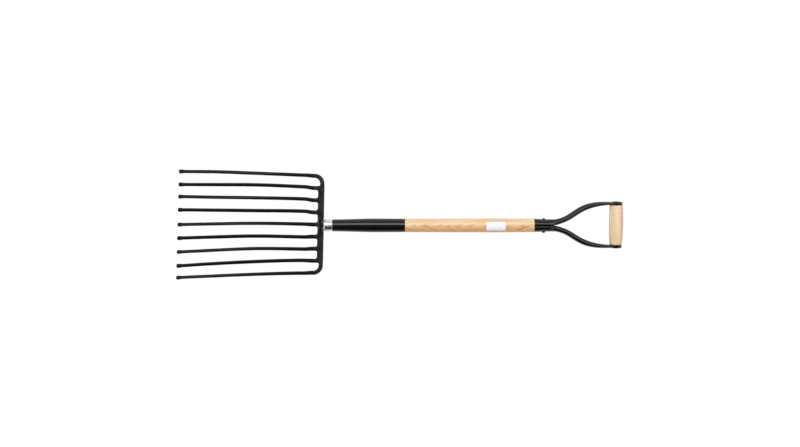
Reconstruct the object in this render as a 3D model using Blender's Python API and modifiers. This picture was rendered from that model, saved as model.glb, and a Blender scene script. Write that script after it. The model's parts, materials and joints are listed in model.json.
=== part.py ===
"""Nine-tine pitchfork with a wooden shaft and a pressed steel D handle, as separate pieces.

Run it with blender --background --python part.py, or from the text editor. Lengths are in metres.
The tool is drawn along +X with its handle axis on y = z = 0: the tines point to -X and the grip
is at +X. The hollow side of the tines faces +Z. At the end the whole tool is tipped to the slope
at which it lies on flat ground, on the backs of its tines and on its grip, with the middle of its
footprint at the origin.
"""

import math

import bmesh
import bpy
from mathutils import Euler, Matrix, Vector

# Fork head
TINE_COUNT = 9
TINE_LENGTH = 0.3656  # bridge to tip, measured along the handle
TINE_ROOT_SIZE = 0.0110  # across the flats where the tine leaves the bridge
TINE_TIP_SIZE = 0.0082  # across the flats just behind the button
TINE_BELLY = 0.028  # how far the tine dips below the line from root to tip
TINE_TWIST = math.radians(24)  # left in each bar by the forging, half of the tines each way
BUTTON_SIZE = 0.0098
BUTTON_LENGTH = 0.0085
ROOT_PITCH = 0.0320
SHOULDER_PITCH = 0.0325  # where the tines have spread just past the bridge
TIP_PITCH = 0.0353
TIP_RISE = 0.011  # tips above roots
TIP_LEAN = 0.046  # tip line out of square, metres along the handle for each metre across
BRIDGE_LEAN = 0.027  # bridge out of square in the same way
BRIDGE_WIDTH = 0.0169
BRIDGE_THICKNESS = 0.0116
BRIDGE_EDGE = 0.0022  # rounding of the bridge's edges
BRIDGE_DROP = 0.028  # bridge below the handle axis
STUB_LENGTH = 0.0064  # forged stub between the bridge and a tine
STUB_FILLET = 0.0036
ROOT_LEVEL = 0.0040  # level start of a tine, before it dips
CORNER_RADIUS_LEFT = 0.020  # centre line of the bend in the first tine, at +Y
CORNER_RADIUS_RIGHT = 0.020  # and in the last tine, at -Y

# How far each hand-set tine stands off the even spacing, at its shoulder, middle, last quarter and tip
TINE_SET = (
    (-0.0006, -0.0003, 0.0001, -0.0015),
    (0.0014, 0.0027, 0.0009, -0.0001),
    (0.0019, 0.0020, 0.0021, 0.0034),
    (0.0021, 0.0017, 0.0025, 0.0040),
    (0.0006, 0.0014, 0.0006, 0.0004),
    (-0.0010, 0.0011, 0.0004, 0.0002),
    (-0.0006, 0.0011, -0.0006, -0.0012),
    (0.0018, -0.0001, -0.0017, -0.0027),
    (0.0002, -0.0006, -0.0003, 0.0013),
)
SHOULDER_SHARE = 0.08  # of the tine's length, counted from the bridge
MIDDLE_SHARE = 0.45
LATE_SHARE = 0.75

# Neck, tang and ferrule
NECK_BASE_WIDTH = 0.042
NECK_BASE_DEPTH = 0.0130
NECK_SETBACK = 0.00815  # neck's middle ahead of the ferrule's crown
TANG_RADIUS = 0.0066
TANG_POINT_RADIUS = 0.0030
TANG_LENGTH = 0.145
FERRULE_LENGTH = 0.0252
FERRULE_WALL = 0.0012
FERRULE_CROWN = 0.0235  # radius of the domed front end
FERRULE_PROUD = 0.0004
PIN_RADIUS = 0.0020
PIN_SETBACK = 0.0585  # from the ferrule's crown
PIN_TURN = math.radians(22)  # the pin leans towards +Y

# Shaft
SHAFT_FRONT_RADIUS = 0.0158
SHAFT_SWELL_RADIUS = 0.0179
SHAFT_WAIST_RADIUS = 0.0177
SHAFT_MIDDLE_RADIUS = 0.0183
SHAFT_REAR_RADIUS = 0.0178
SHAFT_SIGHT_LENGTH = 0.5232  # ferrule to socket
SWELL_PLACE = 0.098  # behind the ferrule
WAIST_PLACE = 0.178
MIDDLE_PLACE = 0.398

# D handle
SHEET = 0.0018
SOCKET_INSET = 0.0007  # steel socket inside the shaft's outline
SOCKET_TAPER = 0.0010
SOCKET_LENGTH = 0.041
SEAM = 0.0026  # between the two pressed halves, and along each arm
LIP_ANGLE = math.asin(0.5 * SEAM / SHAFT_REAR_RADIUS)
ARM_START = 0.0372  # behind the socket's mouth
ARM_START_HALF_GAP = 0.0080
ARM_CURVE_START = 0.0745
ARM_CURVE_END = 0.1006
ARM_START_THICKNESS = 0.0146
ARM_THICKNESS = 0.0153  # half way along the curve
ARM_DEPTH = 0.0205
ARM_TAPER_SHARE = 0.64  # of the arm's curve, before it thins towards the cup
ARM_END_THICKNESS = 0.0086
ARM_END_DEPTH = 0.0285
MORPH_LENGTH = 0.036  # from half socket to closed arm
GRIP_PLACE = 0.2135  # grip axis behind the socket's mouth
GRIP_LENGTH = 0.1021  # in sight between the cups
GRIP_OFF = 0.0013  # the grip's middle is this far from the handle axis, towards +Y
GRIP_LEFT_RADIUS = 0.0169  # at the end towards +Y
GRIP_RIGHT_RADIUS = 0.0158
GRIP_MIDDLE_RADIUS = 0.0184
CUP_RADIUS = 0.0156
CUP_DEPTH = 0.0088
CUP_EDGE = 0.0026
CUP_FLOOR = 0.0018

# Rivets
SOCKET_RIVET_PLACE = 0.0254  # behind the socket's mouth
SOCKET_RIVET_RADIUS = 0.0026
SOCKET_RIVET_SMALL_HEAD = (0.0040, 0.0022)  # radius and height
SOCKET_RIVET_LARGE_HEAD = (0.0047, 0.0031)
GRIP_RIVET_RADIUS = 0.0030
GRIP_RIVET_HEAD = (0.0090, 0.0010)

# Clearances
FIT = 0.0003  # between pieces that touch
MERGE = 0.00001
ROUND_STEPS = 24
SMALL_STEPS = 12

# Finishes: colour, roughness, metallic
FINISHES = {
    "black_lacquer_steel": ((0.018, 0.016, 0.016, 1.0), 0.34, 0.0),
    "zinc": ((0.62, 0.66, 0.68, 1.0), 0.30, 1.0),
    "ash": ((0.74, 0.52, 0.29, 1.0), 0.42, 0.0),
    "beech": ((0.80, 0.60, 0.38, 1.0), 0.50, 0.0),
    "bare_steel": ((0.42, 0.41, 0.40, 1.0), 0.45, 1.0),
    "black_rivet": ((0.022, 0.020, 0.020, 1.0), 0.38, 0.0),
}

# Places along the handle, from the ferrule's crown at x = 0
FERRULE_REAR = FERRULE_LENGTH
MOUTH = FERRULE_REAR + FIT + SHAFT_SIGHT_LENGTH
NECK_X = -NECK_SETBACK
BRIDGE_REAR = NECK_X + 0.5 * BRIDGE_WIDTH
BRIDGE_FRONT = NECK_X - 0.5 * BRIDGE_WIDTH
BRIDGE_Z = -BRIDGE_DROP
GRIP_X = MOUTH + GRIP_PLACE
SOCKET_RIVET_X = MOUTH + SOCKET_RIVET_PLACE
PIN_X = PIN_SETBACK

# Radii that follow from their neighbours
FERRULE_RADIUS = SHAFT_FRONT_RADIUS + FERRULE_PROUD
FERRULE_BORE = FERRULE_RADIUS - FERRULE_WALL
SEAT_RADIUS = FERRULE_BORE - FIT
SOCKET_RADIUS = SHAFT_REAR_RADIUS - SOCKET_INSET
SOCKET_BORE = SOCKET_RADIUS - SHEET
TENON_RADIUS = SOCKET_BORE - FIT
CUP_BORE = CUP_RADIUS - CUP_FLOOR
CUP_RIM_Y = 0.5 * GRIP_LENGTH + FIT
CUP_FACE_Y = CUP_RIM_Y + CUP_DEPTH


def clear_scene():
    """Remove every object that the scene holds."""
    for thing in list(bpy.data.objects):
        bpy.data.objects.remove(thing, do_unlink=True)


def new_collection(name):
    """Return a new collection linked to the scene."""
    group = bpy.data.collections.new(name)
    bpy.context.scene.collection.children.link(group)
    return group


def finish_named(name):
    """Return the Principled material of one finish, made on first use."""
    found = bpy.data.materials.get(name)
    if found:
        return found
    colour, roughness, metallic = FINISHES[name]
    made = bpy.data.materials.new(name)
    made.use_nodes = True
    shader = made.node_tree.nodes["Principled BSDF"]
    shader.inputs["Base Color"].default_value = colour
    shader.inputs["Roughness"].default_value = roughness
    shader.inputs["Metallic"].default_value = metallic
    return made


class Bench:
    """The two collections that pieces and cutters go in, and the empty that everything hangs on."""

    def __init__(self):
        self.parts = new_collection("pitchfork")
        self.cutters = new_collection("cutters")
        self.tool = bpy.data.objects.new("tool_axis", None)
        self.parts.objects.link(self.tool)

    def part(self, name, data, finish):
        """Add a piece made of a mesh or a curve."""
        piece = bpy.data.objects.new(name, data)
        data.materials.append(finish_named(finish))
        self.parts.objects.link(piece)
        piece.parent = self.tool
        return piece

    def cutter(self, name, data):
        """Add a cutter or a guide, which is drawn as wires and isn't part of the tool."""
        guide = bpy.data.objects.new(name, data)
        self.cutters.objects.link(guide)
        guide.parent = self.tool
        guide.hide_render = True
        guide.display_type = "WIRE"
        return guide


def boolean(piece, cutter, operation):
    """Cut a piece by another object, or join the two."""
    step = piece.modifiers.new(f"{operation.lower()}_{cutter.name}", "BOOLEAN")
    step.operation = operation
    step.object = cutter


def turned_mesh(name, outline):
    """Return the mesh of an outline of (distance along the axis, radius) pairs, joined in order."""
    mesh = bpy.data.meshes.new(name)
    shape = bmesh.new()
    corners = [shape.verts.new((radius, 0.0, along)) for along, radius in outline]
    for first, second in zip(corners, corners[1:]):
        shape.edges.new((first, second))
    if outline[0][1] > 0.0:
        shape.edges.new((corners[-1], corners[0]))
    shape.to_mesh(mesh)
    shape.free()
    return mesh


def turn(thing, steps=ROUND_STEPS):
    """Spin the outline of an object round its own Z axis."""
    spin = thing.modifiers.new("turn", "SCREW")
    spin.axis = "Z"
    spin.steps = steps
    spin.render_steps = steps
    spin.use_merge_vertices = True
    spin.merge_threshold = MERGE
    spin.use_smooth_shade = True


def along_x(thing, place=(0.0, 0.0, 0.0)):
    """Point an object's Z axis along +X."""
    thing.rotation_euler = Euler((0.0, math.radians(90), 0.0))
    thing.location = place


def along_y(thing, place=(0.0, 0.0, 0.0)):
    """Point an object's Z axis along +Y."""
    thing.rotation_euler = Euler((math.radians(-90), 0.0, 0.0))
    thing.location = place


def rod_cutter(bench, name, radius, length, steps=SMALL_STEPS):
    """Return a round cutter whose axis is its own Z axis."""
    half = 0.5 * length
    mesh = turned_mesh(name, [(half, 0.0), (half, radius), (-half, radius), (-half, 0.0)])
    cutter = bench.cutter(name, mesh)
    turn(cutter, steps)
    return cutter


def dome(radius, height, count=4):
    """Return (height, radius) pairs of a low domed head, from its top to its rim."""
    angles = [0.5 * math.pi * step / count for step in range(count)]
    return [(height * math.cos(angle), radius * math.sin(angle)) for angle in angles]


def smooth(share):
    """Ease a share of 0 to 1 in and out."""
    share = min(max(share, 0.0), 1.0)
    return share * share * (3.0 - 2.0 * share)


def through(stations, place):
    """Return the value at a place on the smooth curve through (place, value) stations."""
    places = [station[0] for station in stations]
    values = [station[1] for station in stations]
    if place <= places[0]:
        return values[0]
    if place >= places[-1]:
        return values[-1]
    slopes = [0.0] * len(places)
    for i in range(1, len(places) - 1):
        slopes[i] = (values[i + 1] - values[i - 1]) / (places[i + 1] - places[i - 1])
    i = max(j for j in range(len(places) - 1) if places[j] <= place)
    span = places[i + 1] - places[i]
    t = (place - places[i]) / span
    start, end = values[i], values[i + 1]
    return (
        (2 * t**3 - 3 * t**2 + 1) * start
        + (t**3 - 2 * t**2 + t) * span * slopes[i]
        + (3 * t**2 - 2 * t**3) * end
        + (t**3 - t**2) * span * slopes[i + 1]
    )


def from_middle(number):
    """Return how many pitches tine number 0, 1, 2... stands from the head's middle, towards +Y."""
    return 0.5 * (TINE_COUNT - 1) - number


def tine_y(number, share):
    """Return a tine's sideways place at a share of its length from the bridge."""
    root = from_middle(number) * ROOT_PITCH
    level = ROOT_LEVEL / TINE_LENGTH
    spread = (share - SHOULDER_SHARE) / (1.0 - SHOULDER_SHARE)
    pitch = SHOULDER_PITCH + (TIP_PITCH - SHOULDER_PITCH) * max(spread, 0.0)
    shares = (level, SHOULDER_SHARE, MIDDLE_SHARE, LATE_SHARE, 1.0)
    set_off = through(list(zip(shares, (0.0, *TINE_SET[number % len(TINE_SET)]))), share)
    spread_y = from_middle(number) * pitch
    return root + (spread_y - root) * smooth((share - level) / (SHOULDER_SHARE - level)) + set_off


def tine_z(share, level_share):
    """Return a tine's height at a share of its length, level at first and then dipping to its belly."""
    run = (share - level_share) / (1.0 - level_share)
    return BRIDGE_Z + TIP_RISE * run - 4.0 * TINE_BELLY * run * (1.0 - run)


def bridge_rear(y):
    """Return where the bridge's rear edge is at a sideways place."""
    return BRIDGE_REAR + BRIDGE_LEAN * y


def stub_face(y):
    """Return where the face of a tine's stub is."""
    return bridge_rear(y) - BRIDGE_WIDTH - STUB_LENGTH


def tip_x(y):
    """Return where a tine ends."""
    return BRIDGE_FRONT - TINE_LENGTH + TIP_LEAN * y


def bridge_end(side):
    """Return the sideways place of the bridge's end: the outer face of the last stub but one."""
    return side * (from_middle(1) * ROOT_PITCH + 0.5 * TINE_ROOT_SIZE)


def tine_size(share):
    """Return a tine's size across the flats."""
    shoulder = 0.5 * (TINE_ROOT_SIZE + TINE_TIP_SIZE)
    return through([(0.0, TINE_ROOT_SIZE), (SHOULDER_SHARE, shoulder), (1.0, TINE_TIP_SIZE)], share)


def tine_profile(bench):
    """Return the rounded square that every tine's bar follows, one metre across the flats."""
    curve = bpy.data.curves.new("tine_section", "CURVE")
    curve.dimensions = "2D"
    curve.fill_mode = "NONE"
    line = curve.splines.new("POLY")
    count = 12
    line.points.add(count - 1)
    roundness = 3.2  # 2 is a circle, and a large value a sharp square
    for i, point in enumerate(line.points):
        angle = -2.0 * math.pi * i / count
        x = math.copysign(abs(math.cos(angle)) ** (2.0 / roundness), math.cos(angle))
        y = math.copysign(abs(math.sin(angle)) ** (2.0 / roundness), math.sin(angle))
        point.co = (0.5 * x, 0.5 * y, 0.0, 1.0)
    line.use_cyclic_u = True
    return bench.cutter("tine_section", curve)


def corner_path(number, tine_start):
    """Return the part of an outer tine that runs out from the bridge and round the corner."""
    side = 1.0 if from_middle(number) > 0.0 else -1.0
    radius = CORNER_RADIUS_LEFT if side > 0.0 else CORNER_RADIUS_RIGHT
    outer = tine_y(number, 0.0)
    bar_x = bridge_rear(outer - side * radius) - 0.5 * TINE_ROOT_SIZE
    end_y = bridge_end(side)
    start = Vector((bridge_rear(end_y) - 0.5 * TINE_ROOT_SIZE, end_y + side * FIT, BRIDGE_Z))
    centre = Vector((bar_x - radius, outer - side * radius, BRIDGE_Z))
    path = [start]
    turns = 6
    for i in range(turns + 1):
        angle = 0.5 * math.pi * i / turns
        path.append(centre + radius * Vector((math.cos(angle), side * math.sin(angle), 0.0)))
    return [point for point in path if point.x > tine_start]


def add_tine(bench, number, section):
    """Add one tine as a bar that follows its path, with the button at its tip."""
    outer = number in (0, TINE_COUNT - 1)
    root_y = tine_y(number, 0.0)
    start_x = stub_face(root_y) - FIT
    reach = start_x - tip_x(tine_y(number, 1.0))
    points = []
    if outer:
        radius = CORNER_RADIUS_LEFT if number == 0 else CORNER_RADIUS_RIGHT
        first_share = (start_x - bridge_rear(root_y) + 0.5 * TINE_ROOT_SIZE + radius) / reach
        corner = corner_path(number, start_x - first_share * reach)
        points = [(point, TINE_ROOT_SIZE, 0.0) for point in corner]
    else:
        first_share = ROOT_LEVEL / reach
        points.append((Vector((start_x, root_y, BRIDGE_Z)), TINE_ROOT_SIZE, 0.0))
    button = BUTTON_LENGTH / reach
    neck = 0.35 * BUTTON_SIZE / reach
    end = 0.18 * BUTTON_SIZE / reach
    body = 1.0 - button - 2.0 * neck - SHOULDER_SHARE
    shares = [first_share, 0.5 * (first_share + SHOULDER_SHARE)]
    shares += [SHOULDER_SHARE + body * step / 11 for step in range(12)]
    shares += [1.0 - button - neck, 1.0 - button, 1.0 - end, 1.0]
    sizes = [tine_size(share) for share in shares[:-3]] + [BUTTON_SIZE, BUTTON_SIZE, 0.72 * BUTTON_SIZE]
    turn_way = 1.0 if number % 2 else -1.0
    for share, size in zip(shares, sizes):
        place = Vector((start_x - share * reach, tine_y(number, share), tine_z(share, first_share)))
        points.append((place, size, turn_way * TINE_TWIST * smooth(share)))
    curve = bpy.data.curves.new(f"tine_{number + 1}", "CURVE")
    curve.dimensions = "3D"
    curve.twist_mode = "Z_UP"
    curve.bevel_mode = "OBJECT"
    curve.bevel_object = section
    curve.use_fill_caps = True
    line = curve.splines.new("POLY")
    line.points.add(len(points) - 1)
    for point, (place, size, tilt) in zip(line.points, points):
        point.co = (*place, 1.0)
        point.radius = size
        point.tilt = tilt
    bench.part(f"tine_{number + 1}", curve, "black_lacquer_steel")


def fillet(centre, start, end, count=3):
    """Return points on a fillet's arc, angles in degrees."""
    points = []
    for step in range(count + 1):
        angle = math.radians(start + (end - start) * step / count)
        x = centre[0] + STUB_FILLET * math.cos(angle)
        points.append((x, centre[1] + STUB_FILLET * math.sin(angle)))
    return points


def add_bridge(bench):
    """Add the cross strap: a flat outline with a stub for each inner tine, and rounded edges."""
    top, bottom = bridge_end(1.0), bridge_end(-1.0)
    outline = [(bridge_rear(bottom), bottom), (bridge_rear(top), top)]
    half = 0.5 * TINE_ROOT_SIZE
    for number in range(1, TINE_COUNT - 1):
        y = tine_y(number, 0.0)
        face = stub_face(y)
        front = bridge_rear(y) - BRIDGE_WIDTH
        if number > 1:
            outline += fillet((front - STUB_FILLET, y + half + STUB_FILLET), 0.0, -90.0)
        outline += [(face, y + half), (face, y - half)]
        if number < TINE_COUNT - 2:
            outline += fillet((front - STUB_FILLET, y - half - STUB_FILLET), 90.0, 0.0)
    curve = bpy.data.curves.new("bridge_outline", "CURVE")
    curve.dimensions = "2D"
    curve.fill_mode = "BOTH"
    curve.extrude = 0.5 * BRIDGE_THICKNESS - BRIDGE_EDGE
    curve.bevel_depth = BRIDGE_EDGE
    curve.bevel_resolution = 2
    curve.offset = -BRIDGE_EDGE
    line = curve.splines.new("POLY")
    line.points.add(len(outline) - 1)
    for point, (x, y) in zip(line.points, outline):
        point.co = (x, y, 0.0, 1.0)
    line.use_cyclic_u = True
    bridge = bench.part("bridge", meshed(curve), "black_lacquer_steel")
    bridge.location = (0.0, 0.0, BRIDGE_Z)


def meshed(curve):
    """Return a curve's shape as a closed mesh."""
    carrier = bpy.data.objects.new(curve.name, curve)
    bpy.context.scene.collection.objects.link(carrier)
    bpy.context.view_layer.update()
    graph = bpy.context.evaluated_depsgraph_get()
    mesh = bpy.data.meshes.new_from_object(carrier.evaluated_get(graph))
    bpy.data.objects.remove(carrier, do_unlink=True)
    shape = bmesh.new()
    shape.from_mesh(mesh)
    bmesh.ops.remove_doubles(shape, verts=shape.verts, dist=MERGE)
    bmesh.ops.recalc_face_normals(shape, faces=shape.faces)
    shape.to_mesh(mesh)
    shape.free()
    return mesh


def squircle(half_width, half_depth, power, count=16):
    """Return points round a section between an ellipse (power 2) and a rectangle (large power)."""
    ring = []
    for i in range(count):
        angle = 2.0 * math.pi * (i + 0.5) / count
        across = math.copysign(abs(math.cos(angle)) ** (2.0 / power), math.cos(angle))
        through_it = math.copysign(abs(math.sin(angle)) ** (2.0 / power), math.sin(angle))
        ring.append((half_width * across, half_depth * through_it))
    return ring


def lofted_mesh(name, rings):
    """Return a closed mesh through rings of equally many points, capped at both ends."""
    shape = bmesh.new()
    loops = [[shape.verts.new(point) for point in ring] for ring in rings]
    count = len(rings[0])
    for near, far in zip(loops, loops[1:]):
        for i in range(count):
            shape.faces.new((near[i], near[(i + 1) % count], far[(i + 1) % count], far[i]))
    shape.faces.new(loops[0])
    shape.faces.new(loops[-1])
    bmesh.ops.recalc_face_normals(shape, faces=shape.faces)
    mesh = bpy.data.meshes.new(name)
    shape.to_mesh(mesh)
    shape.free()
    return mesh


def neck_stations():
    """Return the tang's stations: x, z, slope, half width, half depth and roundness."""
    base_z = BRIDGE_Z + 0.5 * BRIDGE_THICKNESS + FIT
    bend = 1.15 * TANG_RADIUS
    bend_x = NECK_X + bend
    rise = -bend - base_z
    up = math.radians(90)
    stations = [
        (NECK_X, base_z, up, 0.5 * NECK_BASE_WIDTH, 0.5 * NECK_BASE_DEPTH, 4.0),
        (NECK_X, base_z + 0.18 * rise, up, 0.46 * NECK_BASE_WIDTH, 0.5 * NECK_BASE_DEPTH, 3.5),
        (NECK_X, base_z + 0.50 * rise, up, 0.31 * NECK_BASE_WIDTH, 0.5 * NECK_BASE_DEPTH, 3.0),
        (NECK_X, base_z + 0.85 * rise, up, 1.35 * TANG_RADIUS, TANG_RADIUS, 2.5),
    ]
    for angle in (75, 50, 25, 0):
        slope = math.radians(angle)
        x = bend_x - bend * math.sin(slope)
        z = -bend + bend * math.cos(slope)
        stations.append((x, z, slope, TANG_RADIUS * (1.0 + 0.25 * angle / 90.0), TANG_RADIUS, 2.0))
    spike_start = FERRULE_LENGTH
    for share in (0.0, 0.5, 1.0):
        radius = TANG_RADIUS + (TANG_POINT_RADIUS - TANG_RADIUS) * share
        x = spike_start + (TANG_LENGTH - spike_start) * share
        stations.append((x, 0.0, 0.0, radius, radius, 2.0))
    return stations


def add_tang(bench, pin_cutter):
    """Add the neck that rises from the bridge and its spike, drilled for the pin."""
    rings = []
    for x, z, slope, half_width, half_depth, power in neck_stations():
        normal = Vector((-math.sin(slope), 0.0, math.cos(slope)))
        ring = [
            Vector((x, 0.0, z)) + Vector((0.0, across, 0.0)) + normal * through_it
            for across, through_it in squircle(half_width, half_depth, power)
        ]
        rings.append(ring)
    tang = bench.part("tang", lofted_mesh("tang", rings), "black_lacquer_steel")
    boolean(tang, pin_cutter, "DIFFERENCE")


def tang_radius_at(x):
    """Return the spike's radius at a place inside the shaft."""
    share = (x - FERRULE_LENGTH) / (TANG_LENGTH - FERRULE_LENGTH)
    return TANG_RADIUS + (TANG_POINT_RADIUS - TANG_RADIUS) * min(max(share, 0.0), 1.0)


def crown_x(radius, wall):
    """Return where the cap's dome lies at a radius: its outside with no wall, or its inside."""
    sphere = FERRULE_CROWN - wall
    return FERRULE_CROWN - math.sqrt(max(sphere**2 - radius**2, 0.0))


def add_ferrule(bench):
    """Add the plated cap: a domed front with the tang's hole, and a straight skirt."""
    hole = TANG_RADIUS + FIT
    steps = 5
    outside = [hole + (FERRULE_RADIUS - hole) * step / steps for step in range(steps, -1, -1)]
    inside = [hole + (FERRULE_BORE - hole) * step / steps for step in range(steps + 1)]
    outline = [(FERRULE_LENGTH, FERRULE_RADIUS)]
    outline += [(crown_x(radius, 0.0), radius) for radius in outside]
    outline += [(crown_x(radius, FERRULE_WALL), radius) for radius in inside]
    outline.append((FERRULE_LENGTH, FERRULE_BORE))
    ferrule = bench.part("ferrule", turned_mesh("ferrule", outline), "zinc")
    turn(ferrule)
    along_x(ferrule)


def shaft_radius(behind_ferrule):
    """Return the shaft's radius in sight, at a distance behind the ferrule."""
    stations = [
        (0.0, SHAFT_FRONT_RADIUS),
        (SWELL_PLACE, SHAFT_SWELL_RADIUS),
        (WAIST_PLACE, SHAFT_WAIST_RADIUS),
        (MIDDLE_PLACE, SHAFT_MIDDLE_RADIUS),
        (SHAFT_SIGHT_LENGTH, SHAFT_REAR_RADIUS),
    ]
    return through(stations, behind_ferrule)


def socket_radius(x):
    """Return the socket's outer radius at a place along the handle."""
    share = (x - MOUTH) / SOCKET_LENGTH
    return SOCKET_RADIUS - SOCKET_TAPER * smooth(share)


def add_shaft(bench, pin_cutter, rivet_cutter):
    """Add the turned shaft: seat for the ferrule, swell, tenon for the socket, and the tang's bore."""
    tenon_end = MOUTH + ARM_START
    tenon_end_radius = socket_radius(tenon_end) - SHEET - FIT
    outline = [
        (tenon_end, 0.0),
        (tenon_end, tenon_end_radius - 0.5 * SHEET),
        (tenon_end - 0.5 * SHEET, tenon_end_radius),
        (0.5 * (tenon_end + MOUTH), socket_radius(0.5 * (tenon_end + MOUTH)) - SHEET - FIT),
        (MOUTH, TENON_RADIUS),
        (MOUTH - FIT, TENON_RADIUS),
        (MOUTH - FIT, SHAFT_REAR_RADIUS - 0.5 * SOCKET_INSET),
    ]
    stretches = 14
    shoulder = FERRULE_REAR + FIT
    for step in range(stretches, -1, -1):
        behind = (SHAFT_SIGHT_LENGTH - 2.0 * FIT) * step / stretches
        outline.append((shoulder + behind, shaft_radius(behind)))
    nose = SEAT_RADIUS - 0.23 * FERRULE_CROWN
    seat_start = crown_x(SEAT_RADIUS, FERRULE_WALL) + FIT
    nose_start = crown_x(nose, FERRULE_WALL) + 2.0 * FIT
    spike = TANG_RADIUS + FIT
    outline += [
        (shoulder, SEAT_RADIUS),
        (seat_start, SEAT_RADIUS),
        (nose_start, nose),
        (nose_start, spike),
        (FERRULE_LENGTH, spike),
        (TANG_LENGTH + FIT, TANG_POINT_RADIUS + FIT),
        (TANG_LENGTH + FIT, 0.0),
    ]
    shaft = bench.part("shaft", turned_mesh("shaft", outline), "ash")
    turn(shaft)
    along_x(shaft)
    boolean(shaft, pin_cutter, "DIFFERENCE")
    boolean(shaft, rivet_cutter, "DIFFERENCE")


def add_tang_pin(bench):
    """Add the pin that holds the tang in the shaft, and return the cutter of its hole."""
    reach = shaft_radius(PIN_X - FERRULE_REAR - FIT)
    length = 2.0 * (reach - FIT)
    chamfer = 0.25 * PIN_RADIUS
    outline = [
        (0.5 * length, 0.0),
        (0.5 * length, PIN_RADIUS - chamfer),
        (0.5 * length - chamfer, PIN_RADIUS),
        (chamfer - 0.5 * length, PIN_RADIUS),
        (-0.5 * length, PIN_RADIUS - chamfer),
        (-0.5 * length, 0.0),
    ]
    lean = Euler((-PIN_TURN, 0.0, 0.0))
    pin = bench.part("tang_pin", turned_mesh("tang_pin", outline), "bare_steel")
    turn(pin, SMALL_STEPS)
    pin.location = (PIN_X, 0.0, 0.0)
    pin.rotation_euler = lean
    cutter = rod_cutter(bench, "pin_hole", PIN_RADIUS + FIT, 3.0 * reach)
    cutter.location = (PIN_X, 0.0, 0.0)
    cutter.rotation_euler = lean
    return cutter


def arm_path(share, side):
    """Return an arm's centre line at a share of its curve, drawn at +Y, and its direction."""
    start = Vector((MOUTH + ARM_START, ARM_START_HALF_GAP, 0.0))
    end_y = CUP_FACE_Y + side * GRIP_OFF - 0.5 * ARM_END_THICKNESS
    end = Vector((GRIP_X - CUP_RADIUS, end_y, 0.0))
    handles = (
        start,
        start + Vector((ARM_CURVE_START, 0.0, 0.0)),
        end - Vector((ARM_CURVE_END, 0.0, 0.0)),
        end,
    )
    weights = (
        (1 - share) ** 3,
        3 * (1 - share) ** 2 * share,
        3 * (1 - share) * share**2,
        share**3,
    )
    point = sum((handle * weight for handle, weight in zip(handles, weights)), Vector())
    slope = (
        3 * (1 - share) ** 2 * (handles[1] - handles[0])
        + 6 * (1 - share) * share * (handles[2] - handles[1])
        + 3 * share**2 * (handles[3] - handles[2])
    )
    return point, slope.normalized()


def half_section(x, height, closing, thickness, depth, count=12):
    """Return (outward, z) points of the sheet's middle, from the front lip round to the back lip.

    height is the path's distance from the handle axis. closing is 0 for a half socket and 1 for a
    closed arm.
    """
    socket = socket_radius(x) - 0.5 * SHEET
    a = 0.5 * (thickness - SHEET)
    b = 0.5 * (depth - SHEET)
    lip = math.asin(min(0.5 * SEAM / b, 1.0))
    points = []
    for i in range(count + 1):
        share = i / count
        open_angle = LIP_ANGLE + (math.pi - 2.0 * LIP_ANGLE) * share
        closed_angle = lip + 2.0 * (math.pi - lip) * share
        opened = (socket * math.sin(open_angle) - height, socket * math.cos(open_angle))
        closed = (-a * math.cos(closed_angle), b * math.sin(closed_angle))
        points.append(tuple(o + (c - o) * closing for o, c in zip(opened, closed)))
    return points


def half_mesh(name, side):
    """Return the open surface of one pressed half, from the socket's mouth to its cup."""
    rings = []
    arm_start_x = MOUTH + ARM_START
    for step in range(5):
        x = MOUTH + ARM_START * step / 5
        closing = smooth((x - arm_start_x) / MORPH_LENGTH)
        section = half_section(x, 0.0, closing, ARM_START_THICKNESS, ARM_DEPTH)
        rings.append([Vector((x, side * outward, z)) for outward, z in section])
    stretches = 19
    for step in range(stretches + 1):
        share = step / stretches
        point, direction = arm_path(share, side)
        closing = smooth((point.x - arm_start_x) / MORPH_LENGTH)
        ending = max((share - ARM_TAPER_SHARE) / (1.0 - ARM_TAPER_SHARE), 0.0)
        swelling = smooth(share / ARM_TAPER_SHARE)
        thickness = ARM_START_THICKNESS + (ARM_THICKNESS - ARM_START_THICKNESS) * swelling
        thickness += (ARM_END_THICKNESS - ARM_THICKNESS) * ending**1.9
        depth = ARM_DEPTH + (ARM_END_DEPTH - ARM_DEPTH) * smooth(ending)
        outwards = Vector((-direction.y, direction.x, 0.0))
        section = half_section(point.x, point.y, closing, thickness, depth)
        ring = [point + outwards * outward + Vector((0.0, 0.0, z)) for outward, z in section]
        rings.append([Vector((place.x, side * place.y, place.z)) for place in ring])
    last = rings[-1]
    hollow = CUP_RADIUS - math.sqrt(CUP_RADIUS**2 - (0.5 * ARM_END_DEPTH) ** 2)
    run_in = 0.5 * (CUP_RADIUS - CUP_BORE) + hollow
    rings.append([place + Vector((run_in, 0.0, 0.0)) for place in last])
    shape = bmesh.new()
    loops = [[shape.verts.new(point) for point in ring] for ring in rings]
    for near, far in zip(loops, loops[1:]):
        for i in range(len(near) - 1):
            corners = (near[i], near[i + 1], far[i + 1], far[i])
            shape.faces.new(corners if side > 0.0 else corners[::-1])
    mesh = bpy.data.meshes.new(name)
    shape.to_mesh(mesh)
    shape.free()
    return mesh


def cup_outline():
    """Return the outline of a cup that opens towards the grip, as (distance along y, radius)."""
    hole = GRIP_RIVET_RADIUS + FIT
    floor_y = CUP_FACE_Y - CUP_FLOOR
    outline = [(CUP_FACE_Y, hole)]
    for degrees in (0, 30, 60, 90):
        angle = math.radians(degrees)
        y = CUP_FACE_Y - CUP_EDGE * (1.0 - math.cos(angle))
        outline.append((y, CUP_RADIUS - CUP_EDGE * (1.0 - math.sin(angle))))
    outline += [(CUP_RIM_Y, CUP_RADIUS), (CUP_RIM_Y, CUP_BORE), (floor_y, CUP_BORE), (floor_y, hole)]
    return outline


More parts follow.
